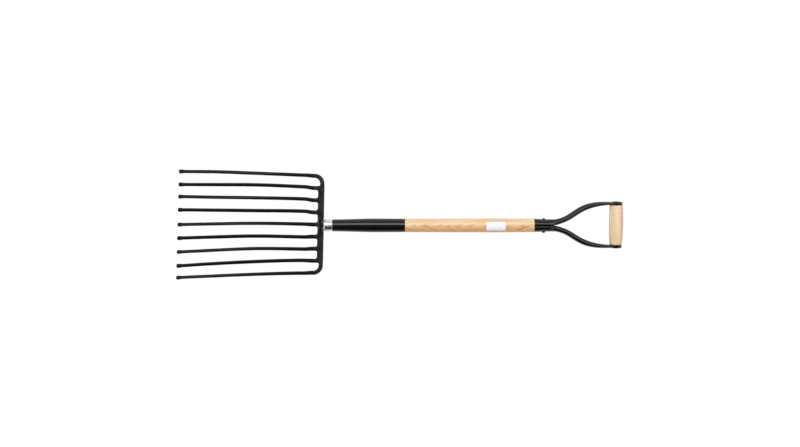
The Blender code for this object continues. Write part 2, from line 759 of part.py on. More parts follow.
def add_handle_half(bench, name, side, rivet_cutter):
    """Add one pressed half of the D handle: half socket, arm and cup in one sheet."""
    half = bench.part(name, half_mesh(name, side), "black_lacquer_steel")
    skin = half.modifiers.new("sheet", "SOLIDIFY")
    skin.thickness = SHEET
    skin.offset = 0.0
    skin.use_even_offset = True
    place = (GRIP_X, GRIP_OFF, 0.0)
    wall_middle = 0.5 * (CUP_RADIUS + CUP_BORE)
    hollow = rod_cutter(bench, f"{name}_cup_room", wall_middle, 4.0 * CUP_DEPTH, ROUND_STEPS)
    along_y(hollow, (GRIP_X, GRIP_OFF + side * CUP_FACE_Y, 0.0))
    cup = bench.cutter(f"{name}_cup", turned_mesh(f"{name}_cup", cup_outline()))
    turn(cup)
    along_y(cup, place)
    if side < 0.0:
        cup.rotation_euler = Euler((math.radians(90), 0.0, 0.0))
    boolean(half, hollow, "DIFFERENCE")
    boolean(half, cup, "UNION")
    boolean(half, rivet_cutter, "DIFFERENCE")


def rivet_outline(radius, upper_seat, upper_head, lower_seat, lower_head):
    """Return the outline of a rivet along its own axis, from its upper head to its lower one."""
    top = [(upper_seat + rise, r) for rise, r in dome(*upper_head)]
    bottom = [(lower_seat - rise, r) for rise, r in reversed(dome(*lower_head))]
    shank = [
        (upper_seat, upper_head[0]),
        (upper_seat, radius),
        (lower_seat, radius),
        (lower_seat, lower_head[0]),
    ]
    return top + shank + bottom


def add_socket_rivet(bench):
    """Add the cross rivet of the socket, and return the cutter of its hole."""
    seat = socket_radius(SOCKET_RIVET_X) + FIT
    heads = (SOCKET_RIVET_SMALL_HEAD, SOCKET_RIVET_LARGE_HEAD)
    outline = rivet_outline(SOCKET_RIVET_RADIUS, seat, heads[0], -seat, heads[1])
    rivet = bench.part("socket_rivet", turned_mesh("socket_rivet", outline), "black_rivet")
    turn(rivet, SMALL_STEPS)
    along_y(rivet, (SOCKET_RIVET_X, 0.0, 0.0))
    cutter = rod_cutter(bench, "socket_rivet_hole", SOCKET_RIVET_RADIUS + FIT, 4.0 * seat)
    along_y(cutter, (SOCKET_RIVET_X, 0.0, 0.0))
    return cutter


def add_grip_rivet(bench):
    """Add the rod through the grip, with a low head on each cup."""
    seat = CUP_FACE_Y + FIT
    outline = rivet_outline(GRIP_RIVET_RADIUS, seat, GRIP_RIVET_HEAD, -seat, GRIP_RIVET_HEAD)
    rivet = bench.part("grip_rivet", turned_mesh("grip_rivet", outline), "black_rivet")
    turn(rivet, SMALL_STEPS)
    along_y(rivet, (GRIP_X, GRIP_OFF, 0.0))


def add_grip(bench):
    """Add the wooden cross grip: a barrel with a tenon in each cup, bored for the rivet."""
    shoulder = 0.5 * GRIP_LENGTH
    tenon_end = CUP_FACE_Y - CUP_FLOOR - FIT
    tenon = CUP_BORE - FIT
    bore = GRIP_RIVET_RADIUS + FIT
    stretches = 8
    barrel = []
    for step in range(stretches, -stretches - 1, -1):
        share = step / stretches
        end_radius = GRIP_LEFT_RADIUS if share > 0.0 else GRIP_RIGHT_RADIUS
        bulge = (GRIP_MIDDLE_RADIUS - end_radius) * (1.0 - abs(share) ** 1.6)
        barrel.append((shoulder * share, end_radius + bulge))
    outline = [(tenon_end, bore), (tenon_end, tenon), (shoulder, tenon)]
    outline += barrel
    outline += [(-shoulder, tenon), (-tenon_end, tenon), (-tenon_end, bore)]
    grip = bench.part("grip", turned_mesh("grip", outline), "beech")
    turn(grip)
    along_y(grip, (GRIP_X, GRIP_OFF, 0.0))


def corners_of(bench):
    """Return every corner of every piece, as the tool lies now."""
    bpy.context.view_layer.update()
    graph = bpy.context.evaluated_depsgraph_get()
    corners = []
    for piece in bench.parts.objects:
        if piece.type == "EMPTY":
            continue
        shown = piece.evaluated_get(graph)
        mesh = shown.to_mesh()
        corners += [shown.matrix_world @ vertex.co for vertex in mesh.vertices]
        shown.to_mesh_clear()
    return corners


def lay_down(bench):
    """Tip the tool so that tines and grip both touch the ground, and centre it on its footprint."""
    corners = corners_of(bench)
    slope = 0.0
    for _ in range(6):
        spin = Matrix.Rotation(slope, 3, "Y")
        turned = [spin @ corner for corner in corners]
        head = min((corner for corner in turned if corner.x < 0.0), key=lambda corner: corner.z)
        rear = min((corner for corner in turned if corner.x >= 0.0), key=lambda corner: corner.z)
        slope += math.atan2(rear.z - head.z, rear.x - head.x)
    spin = Matrix.Rotation(slope, 3, "Y")
    turned = [spin @ corner for corner in corners]
    middle = [0.5 * (min(c[i] for c in turned) + max(c[i] for c in turned)) for i in (0, 1)]
    ground = min(corner.z for corner in turned)
    bench.tool.rotation_euler = Euler((0.0, slope, 0.0))
    bench.tool.location = (-middle[0], -middle[1], -ground)


def shade(bench):
    """Shade the round pieces smooth up to their sharp edges."""
    for piece in bench.parts.objects:
        if piece.type == "MESH":
            piece.data.shade_smooth()
            piece.data.set_sharp_from_angle(angle=math.radians(35))


def main():
    """Build every piece and lay the tool down."""
    clear_scene()
    bench = Bench()
    section = tine_profile(bench)
    for number in range(TINE_COUNT):
        add_tine(bench, number, section)
    add_bridge(bench)
    pin_hole = add_tang_pin(bench)
    add_tang(bench, pin_hole)
    add_ferrule(bench)
    rivet_hole = add_socket_rivet(bench)
    add_shaft(bench, pin_hole, rivet_hole)
    add_handle_half(bench, "handle_half_left", 1.0, rivet_hole)
    add_handle_half(bench, "handle_half_right", -1.0, rivet_hole)
    add_grip(bench)
    add_grip_rivet(bench)
    shade(bench)
    lay_down(bench)


main()
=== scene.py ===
"""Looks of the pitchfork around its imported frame: fine meshes, finishes, studio and camera.

Every piece is drawn in the tool's own frame, in metres. The handle axis is the x axis, the front of
the ferrule's dome is at x = 0, the tines point to -x and the hollow of the fork faces +z. The tool
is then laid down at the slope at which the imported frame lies, read from two of its nodes.
"""

import json
import logging
import math
from abc import ABC, abstractmethod
from bisect import bisect
from collections.abc import Callable, Iterable, Sequence
from dataclasses import dataclass
from enum import Enum
from typing import ClassVar, Self

import bmesh
import bpy
from mathutils import Matrix, Vector, noise

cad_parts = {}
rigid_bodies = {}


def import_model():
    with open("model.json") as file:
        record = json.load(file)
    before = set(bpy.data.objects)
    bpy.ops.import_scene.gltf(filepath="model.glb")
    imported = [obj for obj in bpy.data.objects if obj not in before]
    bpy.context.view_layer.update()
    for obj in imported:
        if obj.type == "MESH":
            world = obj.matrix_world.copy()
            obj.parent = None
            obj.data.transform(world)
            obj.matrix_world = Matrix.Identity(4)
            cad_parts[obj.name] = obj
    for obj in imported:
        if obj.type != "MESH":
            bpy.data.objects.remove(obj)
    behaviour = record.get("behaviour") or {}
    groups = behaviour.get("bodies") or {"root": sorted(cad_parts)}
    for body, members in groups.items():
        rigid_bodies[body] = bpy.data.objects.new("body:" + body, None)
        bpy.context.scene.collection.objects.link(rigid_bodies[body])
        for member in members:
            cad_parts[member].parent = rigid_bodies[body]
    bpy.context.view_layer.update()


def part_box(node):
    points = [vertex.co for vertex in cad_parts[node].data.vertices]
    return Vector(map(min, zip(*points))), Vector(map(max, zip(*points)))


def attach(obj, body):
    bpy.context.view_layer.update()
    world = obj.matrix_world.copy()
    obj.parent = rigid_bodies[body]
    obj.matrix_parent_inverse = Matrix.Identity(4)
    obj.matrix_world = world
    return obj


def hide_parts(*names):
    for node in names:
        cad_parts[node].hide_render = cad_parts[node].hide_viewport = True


BODY = "root"
TINY = 1e-7
FIT = 0.0003  # gap between pieces that touch, as in the frame
RIGHT_ANGLE = math.radians(90)
UP = Vector((0.0, 0.0, 1.0))
FLOAT = "NodeSocketFloat"
VECTOR = "NodeSocketVector"

Pair = tuple[float, float]
Triple = tuple[float, float, float]
Colour = tuple[float, float, float, float]
Outline = list[Pair]  # (distance along the axis, radius), or (across, through) round a section
Ring = list[Vector]
Station = tuple[Vector, float, float]  # place, size across the flats and tilt of a tine's bar
Loop = list[bmesh.types.BMVert]
Socket = bpy.types.NodeSocket
Value = float | Sequence[float] | Socket

WHITE: Colour = (1.0, 1.0, 1.0, 1.0)

log = logging.getLogger("pitchfork")


def ease(share: float) -> float:
    """Return a share eased in and out, with what lies outside 0 to 1 taken as 0 or 1."""
    share = min(max(share, 0.0), 1.0)
    return share * share * (3.0 - 2.0 * share)


def between(first: float, second: float, share: float) -> float:
    """Return the value at a share of the way from the first value to the second."""
    return first + (second - first) * share


def through(stations: Sequence[Pair], place: float) -> float:
    """Read a smooth curve that passes through stations.

    Args:
        stations: (place, value) pairs, in order of place.
        place: Where the curve is read.

    Returns:
        The curve's value there, level beyond both ends.
    """
    places, values = zip(*stations)
    if not places[0] < place < places[-1]:
        return values[0] if place <= places[0] else values[-1]
    slopes = [(far[1] - near[1]) / (far[0] - near[0]) for near, far in zip(stations, stations[2:])]
    slopes = [0.0, *slopes, 0.0]
    i = bisect(places, place) - 1
    span = places[i + 1] - places[i]
    t = (place - places[i]) / span
    return (
        (2 * t**3 - 3 * t**2 + 1) * values[i]
        + (t**3 - 2 * t**2 + t) * span * slopes[i]
        + (3 * t**2 - 2 * t**3) * values[i + 1]
        + (t**3 - t**2) * span * slopes[i + 1]
    )


def lumps(place: Vector, size: float) -> float:
    """Return smooth noise of about -1 to 1, whose lumps have one size in metres."""
    return noise.noise(place / size)


def superellipse(half_width: float, half_depth: float, power: float, count: int) -> Outline:
    """Draw a section between an ellipse and a rectangle.

    Args:
        half_width: Half of its size across.
        half_depth: Half of its size through.
        power: 2 for an ellipse, and larger for squarer corners.
        count: How many points it has.

    Returns:
        (across, through) pairs, in order round the section.
    """
    ring = []
    for i in range(count):
        angle = 2.0 * math.pi * (i + 0.5) / count
        ways = (math.cos(angle), math.sin(angle))
        across, deep = (math.copysign(abs(way) ** (2.0 / power), way) for way in ways)
        ring.append((half_width * across, half_depth * deep))
    return ring


def rounded(along: float, radius: float, edge: float, steps: int) -> Outline:
    """Return the points of an outline's rounded edge, from its end face to its outside."""
    angles = [math.radians(90.0 * i / steps) for i in range(steps + 1)]
    return [(along - edge * (1.0 - math.cos(a)), radius - edge * (1.0 - math.sin(a))) for a in angles]


class Shape:
    """A mesh under construction."""

    def __init__(self) -> None:
        """Start with no faces."""
        self.body = bmesh.new()

    def tube(self, rings: Sequence[Ring]) -> Self:
        """Stretch a closed skin over rings, and close both ends.

        Args:
            rings: Rings of equally many points, from one end to the other.

        Returns:
            The shape itself.
        """
        loops = [self._loop(ring) for ring in rings]
        for near, far in zip(loops, loops[1:]):
            self._band(near, far)
        for end in (loops[0], loops[-1]):
            self.body.faces.new(end)
        return self

    def lathe(self, outline: Outline, axis: Matrix, steps: int) -> Self:
        """Turn an outline about an axis.

        Args:
            outline: An outline that starts on the axis also ends there, and any other one is
                closed on itself.
            axis: Takes the z axis to the axis that the outline turns about.
            steps: How many faces go once round.

        Returns:
            The shape itself.
        """
        loops = []
        for along, radius in outline:
            count = 1 if radius < TINY else steps
            angles = [2.0 * math.pi * i / steps for i in range(count)]
            points = [(radius * math.cos(a), radius * math.sin(a), along) for a in angles]
            loops.append(self._loop(axis @ Vector(point) for point in points))
        closing = [(loops[-1], loops[0])] if outline[0][1] >= TINY else []
        for near, far in [*zip(loops, loops[1:]), *closing]:
            self._band(near, far)
        return self

    def slab(self, top: Sequence[Ring], bottom: Sequence[Ring]) -> Self:
        """Add a thin sheet with its four edges.

        Args:
            top: The rows of points of its upper face.
            bottom: As many rows of as many points, of its lower face.

        Returns:
            The shape itself.
        """
        upper, lower = ([self._loop(row) for row in grid] for grid in (top, bottom))
        for grid in (upper, lower):
            for near, far in zip(grid, grid[1:]):
                self._strip(near, far)
        for rim, base in zip(self._rims(upper), self._rims(lower)):
            self._strip(rim, base)
        return self

    def cut_off(self, point: Vector, direction: Vector) -> Self:
        """Cut the mesh at a plane and close the cut.

        Args:
            point: A point of the plane.
            direction: Square to the plane, towards what is dropped.

        Returns:
            The shape itself.
        """
        everything = self.body.verts[:] + self.body.edges[:] + self.body.faces[:]
        cut = bmesh.ops.bisect_plane(
            self.body, geom=everything, plane_co=point, plane_no=direction, clear_outer=True
        )
        edges = [item for item in cut["geom_cut"] if isinstance(item, bmesh.types.BMEdge)]
        bmesh.ops.holes_fill(self.body, edges=edges, sides=0)
        return self

    def mesh(self, crease: float = 35.0) -> bpy.types.Mesh:
        """Finish the mesh.

        Args:
            crease: The angle between faces, in degrees, from which an edge stays sharp.

        Returns:
            The mesh, with its faces pointing out and its round surfaces shaded smooth.
        """
        bmesh.ops.recalc_face_normals(self.body, faces=self.body.faces)
        made = bpy.data.meshes.new("shape")
        self.body.to_mesh(made)
        self.body.free()
        return shaded(made, crease)

    def _loop(self, points: Iterable[Vector]) -> Loop:
        """Return new vertices at points."""
        return [self.body.verts.new(point) for point in points]

    def _band(self, near: Loop, far: Loop) -> None:
        """Join two closed loops.

        Args:
            near: One loop, which may be a single point.
            far: The next loop, which may be a single point too.
        """
        count = max(len(near), len(far))
        for i in range(count):
            j = (i + 1) % count
            corners = [near[i % len(near)], near[j % len(near)], far[j % len(far)], far[i % len(far)]]
            self.body.faces.new(list(dict.fromkeys(corners)))

    def _strip(self, near: Loop, far: Loop) -> None:
        """Join two open rows of equally many points."""
        for i in range(len(near) - 1):
            self.body.faces.new((near[i], near[i + 1], far[i + 1], far[i]))

    @staticmethod
    def _rims(grid: Sequence[Loop]) -> list[Loop]:
        """Return the four edges of a grid."""
        return [grid[0], grid[-1], [row[0] for row in grid], [row[-1] for row in grid]]


def shaded(mesh: bpy.types.Mesh, crease: float) -> bpy.types.Mesh:
    """Shade a mesh smooth but for its sharp edges.

    Args:
        mesh: The mesh.
        crease: The angle between faces, in degrees, from which an edge stays sharp.

    Returns:
        The same mesh.
    """
    mesh.shade_smooth()
    mesh.set_sharp_from_angle(angle=math.radians(crease))
    return mesh


def along_x() -> Matrix:
    """Return the matrix that turns the z axis to +x."""
    return Matrix.Rotation(RIGHT_ANGLE, 4, "Y")


def along_y(x: float, side: float = 1.0) -> Matrix:
    """Return the matrix that turns the z axis to +y, or to -y, at a place on the handle axis."""
    return Matrix.Translation((x, 0.0, 0.0)) @ Matrix.Rotation(-RIGHT_ANGLE * side, 4, "X")


def placed(name: str, data: bpy.types.ID) -> bpy.types.Object:
    """Put a mesh, a light or a camera in the scene.

    Args:
        name: The new object's name.
        data: What it carries.

    Returns:
        The object.
    """
    made = bpy.data.objects.new(name, data)
    bpy.context.scene.collection.objects.link(made)
    return made


def worked(mesh: bpy.types.Mesh, work: Callable[[bpy.types.Object], None]) -> bpy.types.Mesh:
    """Put a mesh through modifiers.

    Args:
        mesh: The mesh to work on, which isn't kept.
        work: Puts the modifiers on the object that carries the mesh.

    Returns:
        The new mesh.
    """
    carrier = placed("carrier", mesh)
    work(carrier)
    graph = bpy.context.evaluated_depsgraph_get()
    made = bpy.data.meshes.new_from_object(carrier.evaluated_get(graph))
    bpy.data.objects.remove(carrier)
    return made


def combined(mesh: bpy.types.Mesh, other: bpy.types.Mesh, operation: str) -> bpy.types.Mesh:
    """Cut one mesh from another, or join the two.

    Args:
        mesh: The mesh to work on.
        other: What is cut from it or joined to it.
        operation: DIFFERENCE or UNION.

    Returns:
        The new mesh.
    """
    tool = placed("tool", other)

    def work(carrier: bpy.types.Object) -> None:
        """Put the Boolean on the carrier."""
        step = carrier.modifiers.new(operation.lower(), "BOOLEAN")
        step.operation, step.object = operation, tool

    made = worked(mesh, work)
    bpy.data.objects.remove(tool)
    return made


def toned(colour: Colour, factor: float) -> Colour:
    """Return a colour made lighter or darker by a factor."""
    return (*(factor * part for part in colour[:3]), 1.0)


@dataclass(frozen=True)
class Pattern:
    """A noise in a finish, and how much of it shows."""

    scale: float | Triple  # lumps to a metre, for all axes or for each
    detail: float = 2.0  # how many finer layers the noise has
    rough: float = 0.5  # how strong the finer layers are
    shows: Pair | None = None  # the noise at which it begins to show, and at which it is full


class Graph:
    """The nodes of one material or group."""

    COLOUR_IN: ClassVar[tuple[int, int]] = (6, 7)  # the sockets of a Mix node that blends colours
    COLOUR_OUT: ClassVar[int] = 2

    def __init__(self, tree: bpy.types.NodeTree) -> None:
        """Work on one node tree."""
        self.tree = tree

    def add(self, kind: str, inputs: dict | None = None, **settings: object) -> bpy.types.Node:
        """Add a node.

        Args:
            kind: The node's type, without its ShaderNode.
            inputs: Values or links, by the name or number of the socket that takes them.
            settings: The node's own properties.

        Returns:
            The node.
        """
        node = self.tree.nodes.new(f"ShaderNode{kind}")
        for name, value in settings.items():
            setattr(node, name, value)
        self.feed(node, inputs or {})
        return node

    def feed(self, node: bpy.types.Node, inputs: dict) -> None:
        """Link or set inputs of a node.

        Args:
            node: The node.
            inputs: Values or links, by the name or number of the socket that takes them.
        """
        for key, value in inputs.items():
            if isinstance(value, Socket):
                self.tree.links.new(value, node.inputs[key])
            else:
                node.inputs[key].default_value = value

    def math(self, operation: str, *values: Value) -> Socket:
        """Return the result of a Math node."""
        return self.add("Math", dict(enumerate(values)), operation=operation).outputs[0]

    def times(self, first: Value, *others: Value) -> Socket:
        """Return the product of values.

        Args:
            first: The first value.
            others: The values that it is multiplied by, one after the other.

        Returns:
            The product.
        """
        for other in others:
            first = self.math("MULTIPLY", first, other)
        return first

    def added(self, base: Value, value: Value, share: Value) -> Socket:
        """Return a base with a share of a value added to it."""
        return self.math("MULTIPLY_ADD", value, share, base)

    def step(self, value: Value, low: Value, high: Value) -> Socket:
        """Return 0 below the low value and 1 above the high one, eased in between."""
        inputs = {"Value": value, "From Min": low, "From Max": high}
        return self.add("MapRange", inputs, interpolation_type="SMOOTHSTEP").outputs["Result"]

    def spread(self, value: Value, low: float, high: float) -> Socket:
        """Return a share of 0 to 1 spread over another range."""
        return self.add("MapRange", {"Value": value, "To Min": low, "To Max": high}).outputs["Result"]

    def blend(self, share: Value, first: Value, second: Value, kind: str = "MIX") -> Socket:
        """Return the mix of two colours."""
        inputs = dict(zip((0, *self.COLOUR_IN), (share, first, second)))
        return self.add("Mix", inputs, data_type="RGBA", blend_type=kind).outputs[self.COLOUR_OUT]

    def axes(self, place: Socket) -> list[Socket]:
        """Return a place's x, y and z."""
        return list(self.add("SeparateXYZ", {0: place}).outputs)

    def noise(self, place: Socket, scale: Value, detail: float = 2.0, rough: float = 0.5) -> Socket:
        """Return noise of 0 to 1."""
        inputs = {"Vector": place, "Scale": scale, "Detail": detail, "Roughness": rough}
        return self.add("TexNoise", inputs).outputs["Fac"]

    def pattern(self, place: Socket, pattern: Pattern) -> Socket:
        """Draw a pattern.

        Args:
            place: The coordinates that it is drawn on.
            pattern: The pattern.

        Returns:
            0 where it doesn't show, up to 1 where it is full.
        """
        scale = pattern.scale
        if isinstance(scale, tuple):
            place = self.add("Mapping", {"Vector": place, "Scale": scale}).outputs[0]
            scale = 1.0
        drawn = self.noise(place, scale, pattern.detail, pattern.rough)
        return self.step(drawn, *pattern.shows) if pattern.shows else drawn

    def bump(self, height: Socket, distance: float) -> Socket:
        """Return the normal that a height in shares of a distance makes."""
        return self.add("Bump", {"Height": height, "Distance": distance}).outputs["Normal"]

    def place(self) -> Socket:
        """Return the place on the piece in the tool's frame, in metres."""
        packed = self.add("TexCoord").outputs["Object"]
        return self.add("Group", {0: packed}, node_tree=bpy.data.node_groups[ToolPlace.name]).outputs[0]


@dataclass(frozen=True)
class EffectGroup(ABC):
    """A shader node group that several finishes share, built on its first use.

    It takes coordinates and then numbers.
    """

    name: ClassVar[str]
    entries: ClassVar[tuple[str, ...]] = ()
    results: ClassVar[tuple[str, ...]]
    result_kind: ClassVar[str] = FLOAT

    @abstractmethod
    def fill(self, graph: Graph, place: Socket, *given: Socket) -> tuple[Socket, ...]:
        """Add the group's nodes.

        Args:
            graph: The group's node tree.
            place: Its coordinates.
            given: Its other inputs, in order.

        Returns:
            What feeds each output, in order.
        """

    def tree(self) -> bpy.types.NodeTree:
        """Make the group's node tree, or find it.

        Returns:
            The node tree.
        """
        tree = bpy.data.node_groups.get(self.name)
        if not tree:
            tree = bpy.data.node_groups.new(self.name, "ShaderNodeTree")
            sockets = [("Coordinates", "INPUT", VECTOR)]
            sockets += [(entry, "INPUT", FLOAT) for entry in self.entries]
            sockets += [(result, "OUTPUT", self.result_kind) for result in self.results]
            for name, way, kind in sockets:
                tree.interface.new_socket(name, in_out=way, socket_type=kind)
            source = tree.nodes.new("NodeGroupInput")
            target = tree.nodes.new("NodeGroupOutput")
            graph = Graph(tree)
            given = [source.outputs[entry] for entry in ("Coordinates", *self.entries)]
            graph.feed(target, dict(enumerate(self.fill(graph, *given))))
        return tree

    def use(self, graph: Graph, place: Socket, *values: Value) -> list[Socket]:
        """Place the group in a material.

        Args:
            graph: The material's nodes.
            place: The coordinates that it takes.
            values: What goes into its other inputs, in order.

        Returns:
            The group's outputs, in order.
        """
        return list(graph.add("Group", dict(enumerate((place, *values))), node_tree=self.tree()).outputs)


@dataclass(frozen=True)
class ToolPlace(EffectGroup):
    """Places in the tool's own frame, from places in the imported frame."""

    lie: Matrix
    name = "tool_place"
    results = ("Tool Place",)
    result_kind = VECTOR

    def fill(self, graph: Graph, place: Socket, *given: Socket) -> tuple[Socket, ...]:
        """Turn and shift the places back.

        Args:
            graph: The group's node tree.
            place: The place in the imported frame.
            given: Nothing.

        Returns:
            The place in the tool's frame.
        """
        back = self.lie.inverted()
        inputs = {"Vector": place, "Location": back.to_translation(), "Rotation": back.to_euler()}
        return (graph.add("Mapping", inputs).outputs[0],)


@dataclass(frozen=True)
class PaintFilm(EffectGroup):
    """The surface of dipped or sprayed paint: slow waves, orange peel, and dust under the film."""

    nibs: Pattern = Pattern(420.0, 0.0, shows=(0.76, 0.84))
    nib_height: float = 1.5  # of the peel's
    dull_size: float = 0.45  # of the dull patches, against 1 for the waves'
    name = "paint_film"
    entries = ("Wave Size", "Peel Size", "Peel Share")
    results = ("Height", "Dullness")

    def fill(self, graph: Graph, place: Socket, *given: Socket) -> tuple[Socket, ...]:
        """Add waves, peel and dust nibs.

        Args:
            graph: The group's node tree.
            place: Its coordinates.
            given: The waves' size, the peel's size and the peel's share of the height.

        Returns:
            The film's height and how dull it is.
        """
        wave_size, peel_size, peel_share = given
        waves = graph.noise(place, graph.math("DIVIDE", 1.0, wave_size), 1.0)
        peel = graph.noise(place, graph.math("DIVIDE", 1.0, peel_size), 2.0)
        height = graph.added(waves, peel, peel_share)
        nib_share = graph.times(peel_share, self.nib_height)
        height = graph.added(height, graph.pattern(place, self.nibs), nib_share)
        return height, graph.noise(place, graph.math("DIVIDE", self.dull_size, wave_size), 3.0, 0.6)


@dataclass(frozen=True)
class Handling(EffectGroup):
    """Marks of handling: sparse fine scratches along the tool, and small spots where paint is thin."""

    hairs: Pattern = Pattern((70.0, 1400.0, 1400.0), 1.0, shows=(0.70, 0.74))
    scratched: Pattern = Pattern(26.0, shows=(0.52, 0.66))
    spots: Pattern = Pattern((60.0, 160.0, 160.0), 3.0, 0.6, (0.62, 0.72))
    name = "handling"
    entries = ("Amount",)
    results = ("Scratches", "Thin Spots")

    def fill(self, graph: Graph, place: Socket, *given: Socket) -> tuple[Socket, ...]:
        """Add scratches and spots.

        Args:
            graph: The group's node tree.
            place: Its coordinates.
            given: How strong the marks are.

        Returns:
            The scratches and the thin spots.
        """
        scratches = graph.times(graph.pattern(place, self.hairs), graph.pattern(place, self.scratched))
        return graph.times(scratches, *given), graph.times(graph.pattern(place, self.spots), *given)


@dataclass(frozen=True)
class WoodFigure(EffectGroup):
    """Sawn wood: growth rings round a pith that isn't in the piece, pores, and slow changes of tone.

    The grain runs along the x axis of the coordinates. The rings' cone makes them run out on the
    surface, which draws the pointed figure of a flat-sawn face.
    """

    slow: Pattern = Pattern((9.0, 42.0, 42.0))
    quick: Pattern = Pattern((45.0, 190.0, 190.0))
    quick_share: float = 0.16
    middle: float = 0.58  # of the slow and the quick wandering together
    late_start: Pair = (0.48, 0.88)  # of a year's ring, where its late wood begins and is full
    late_stop: Pair = (1.0, 0.92)
    pale_year: float = 0.30  # how much late wood the palest year shows
    dashes: Pattern = Pattern((130.0, 2300.0, 2300.0), 1.0, shows=(0.60, 0.72))
    early_pores: float = 0.35  # how much of the pores shows outside the late wood
    tone: Pattern = Pattern((8.0, 170.0, 170.0), 3.0, 0.55)
    fibres: Pattern = Pattern((14.0, 1500.0, 1500.0), 3.0, 0.6)
    name = "wood_figure"
    entries = ("Pith Y", "Pith Z", "Ring Width", "Cone", "Wander")
    results = ("Late Wood", "Pores", "Tone", "Fibres")

    def fill(self, graph: Graph, place: Socket, *given: Socket) -> tuple[Socket, ...]:
        """Add rings, pores, fibres and tone.

        Args:
            graph: The group's node tree.
            place: Its coordinates.
            given: The pith's place, the rings' width, their cone and how far they wander.

        Returns:
            The late wood, the pores, the tone and the fibres.
        """
        pith_y, pith_z, ring_width, cone, wander = given
        x, y, z = graph.axes(place)
        across, deep = graph.math("SUBTRACT", y, pith_y), graph.math("SUBTRACT", z, pith_z)
        square = graph.math("ADD", graph.times(across, across), graph.times(deep, deep))
        radius = graph.math("SQRT", square)
        slow, quick = graph.pattern(place, self.slow), graph.pattern(place, self.quick)
        swing = graph.added(slow, quick, self.quick_share)
        drift = graph.times(graph.math("SUBTRACT", swing, self.middle), wander)
        reach = graph.added(graph.math("ADD", radius, drift), x, cone)
        phase = graph.math("DIVIDE", reach, ring_width)
        year, number = graph.math("FRACT", phase), graph.math("FLOOR", phase)
        strength = graph.add("TexWhiteNoise", {"W": number}, noise_dimensions="1D").outputs["Value"]
        late = graph.times(graph.step(year, *self.late_start), graph.step(year, *self.late_stop))
        late = graph.times(late, graph.spread(strength, self.pale_year, 1.0))
        pores = graph.times(graph.pattern(place, self.dashes), graph.spread(late, self.early_pores, 1.0))
        return late, pores, graph.pattern(place, self.tone), graph.pattern(place, self.fibres)


@dataclass(frozen=True)
class Finish(ABC):
    """A finish that pieces are dressed in."""

    name: str
    roughness: float

    @abstractmethod
    def surface(self, graph: Graph, place: Socket) -> dict[str, Value]:
        """Add the finish's nodes.

        Args:
            graph: The material's nodes.
            place: The place in the tool's frame.

        Returns:
            What feeds the Principled BSDF, by the input's name.
        """

    def material(self) -> bpy.types.Material:
        """Make the finish's material, or find it.

        Returns:
            The material.
        """
        made = bpy.data.materials.get(self.name)
        if not made:
            made = bpy.data.materials.new(self.name)
            made.use_nodes = True
            graph = Graph(made.node_tree)
            graph.feed(made.node_tree.nodes["Principled BSDF"], self.surface(graph, graph.place()))
        return made


@dataclass(frozen=True)
class BlackPaint(Finish):
    """Black lacquer or paint on steel, or on the front of the shaft."""

    colour: Colour = (0.0052, 0.0044, 0.0040, 1.0)
    thin_colour: Colour = (0.090, 0.052, 0.026, 1.0)
    specular: float = 0.30
    wave_size: float = 0.030
    peel_size: float = 0.0022
    peel_share: float = 0.06
    relief: float = 0.00025
    wear: float = 0.5
    thin_share: float = 0.5  # how much of the thin colour shows
    scratch_light: float = 4.0  # how much paler than the paint a scratch is
    scratch_rough: float = 0.12
    uneven_rough: Pair = (0.80, 1.20)
    strap_paling: float = 0.0  # how strongly a paler colour is painted over the strap, behind the tines' roots
    strap_pale_colour: Colour = (0.030, 0.028, 0.029, 1.0)
    dust: Pattern = Pattern(75.0, 3.0, 0.6, (0.35, 0.65))
    strap_pale_share: float = 0.30  # how much of it shows where it is thinnest
    strap_pale_x: Pair = (-0.032, -0.012)  # where along the tool it begins and is full
    strap_pale_z: Pair = (-0.016, -0.021)

    def surface(self, graph: Graph, place: Socket) -> dict[str, Value]:
        """Add the film's waves and peel, its dull patches, a paler colour over the strap and its marks.

        Args:
            graph: The material's nodes.
            place: The place in the tool's frame.

        Returns:
            What feeds the Principled BSDF, by the input's name.
        """
        height, dull = PaintFilm().use(graph, place, self.wave_size, self.peel_size, self.peel_share)
        scratches, spots = Handling().use(graph, place, self.wear)
        colour = graph.blend(graph.times(spots, self.thin_share), self.colour, self.thin_colour)
        # A paler colour over the strap behind the tines' roots, broken up unevenly by a noise.
        if self.strap_paling:
            x, _, z = graph.axes(place)
            uneven = graph.spread(graph.pattern(place, self.dust), self.strap_pale_share, 1.0)
            share = graph.times(graph.step(x, *self.strap_pale_x), graph.step(z, *self.strap_pale_z), uneven, self.strap_paling)
            colour = graph.blend(share, colour, self.strap_pale_colour)
        rough = graph.spread(dull, *(part * self.roughness for part in self.uneven_rough))
        return {
            "Base Color": graph.blend(scratches, colour, toned(self.colour, self.scratch_light)),
            "Roughness": graph.added(rough, scratches, self.scratch_rough),
            "Specular IOR Level": self.specular,
            "Normal": graph.bump(height, self.relief),
        }


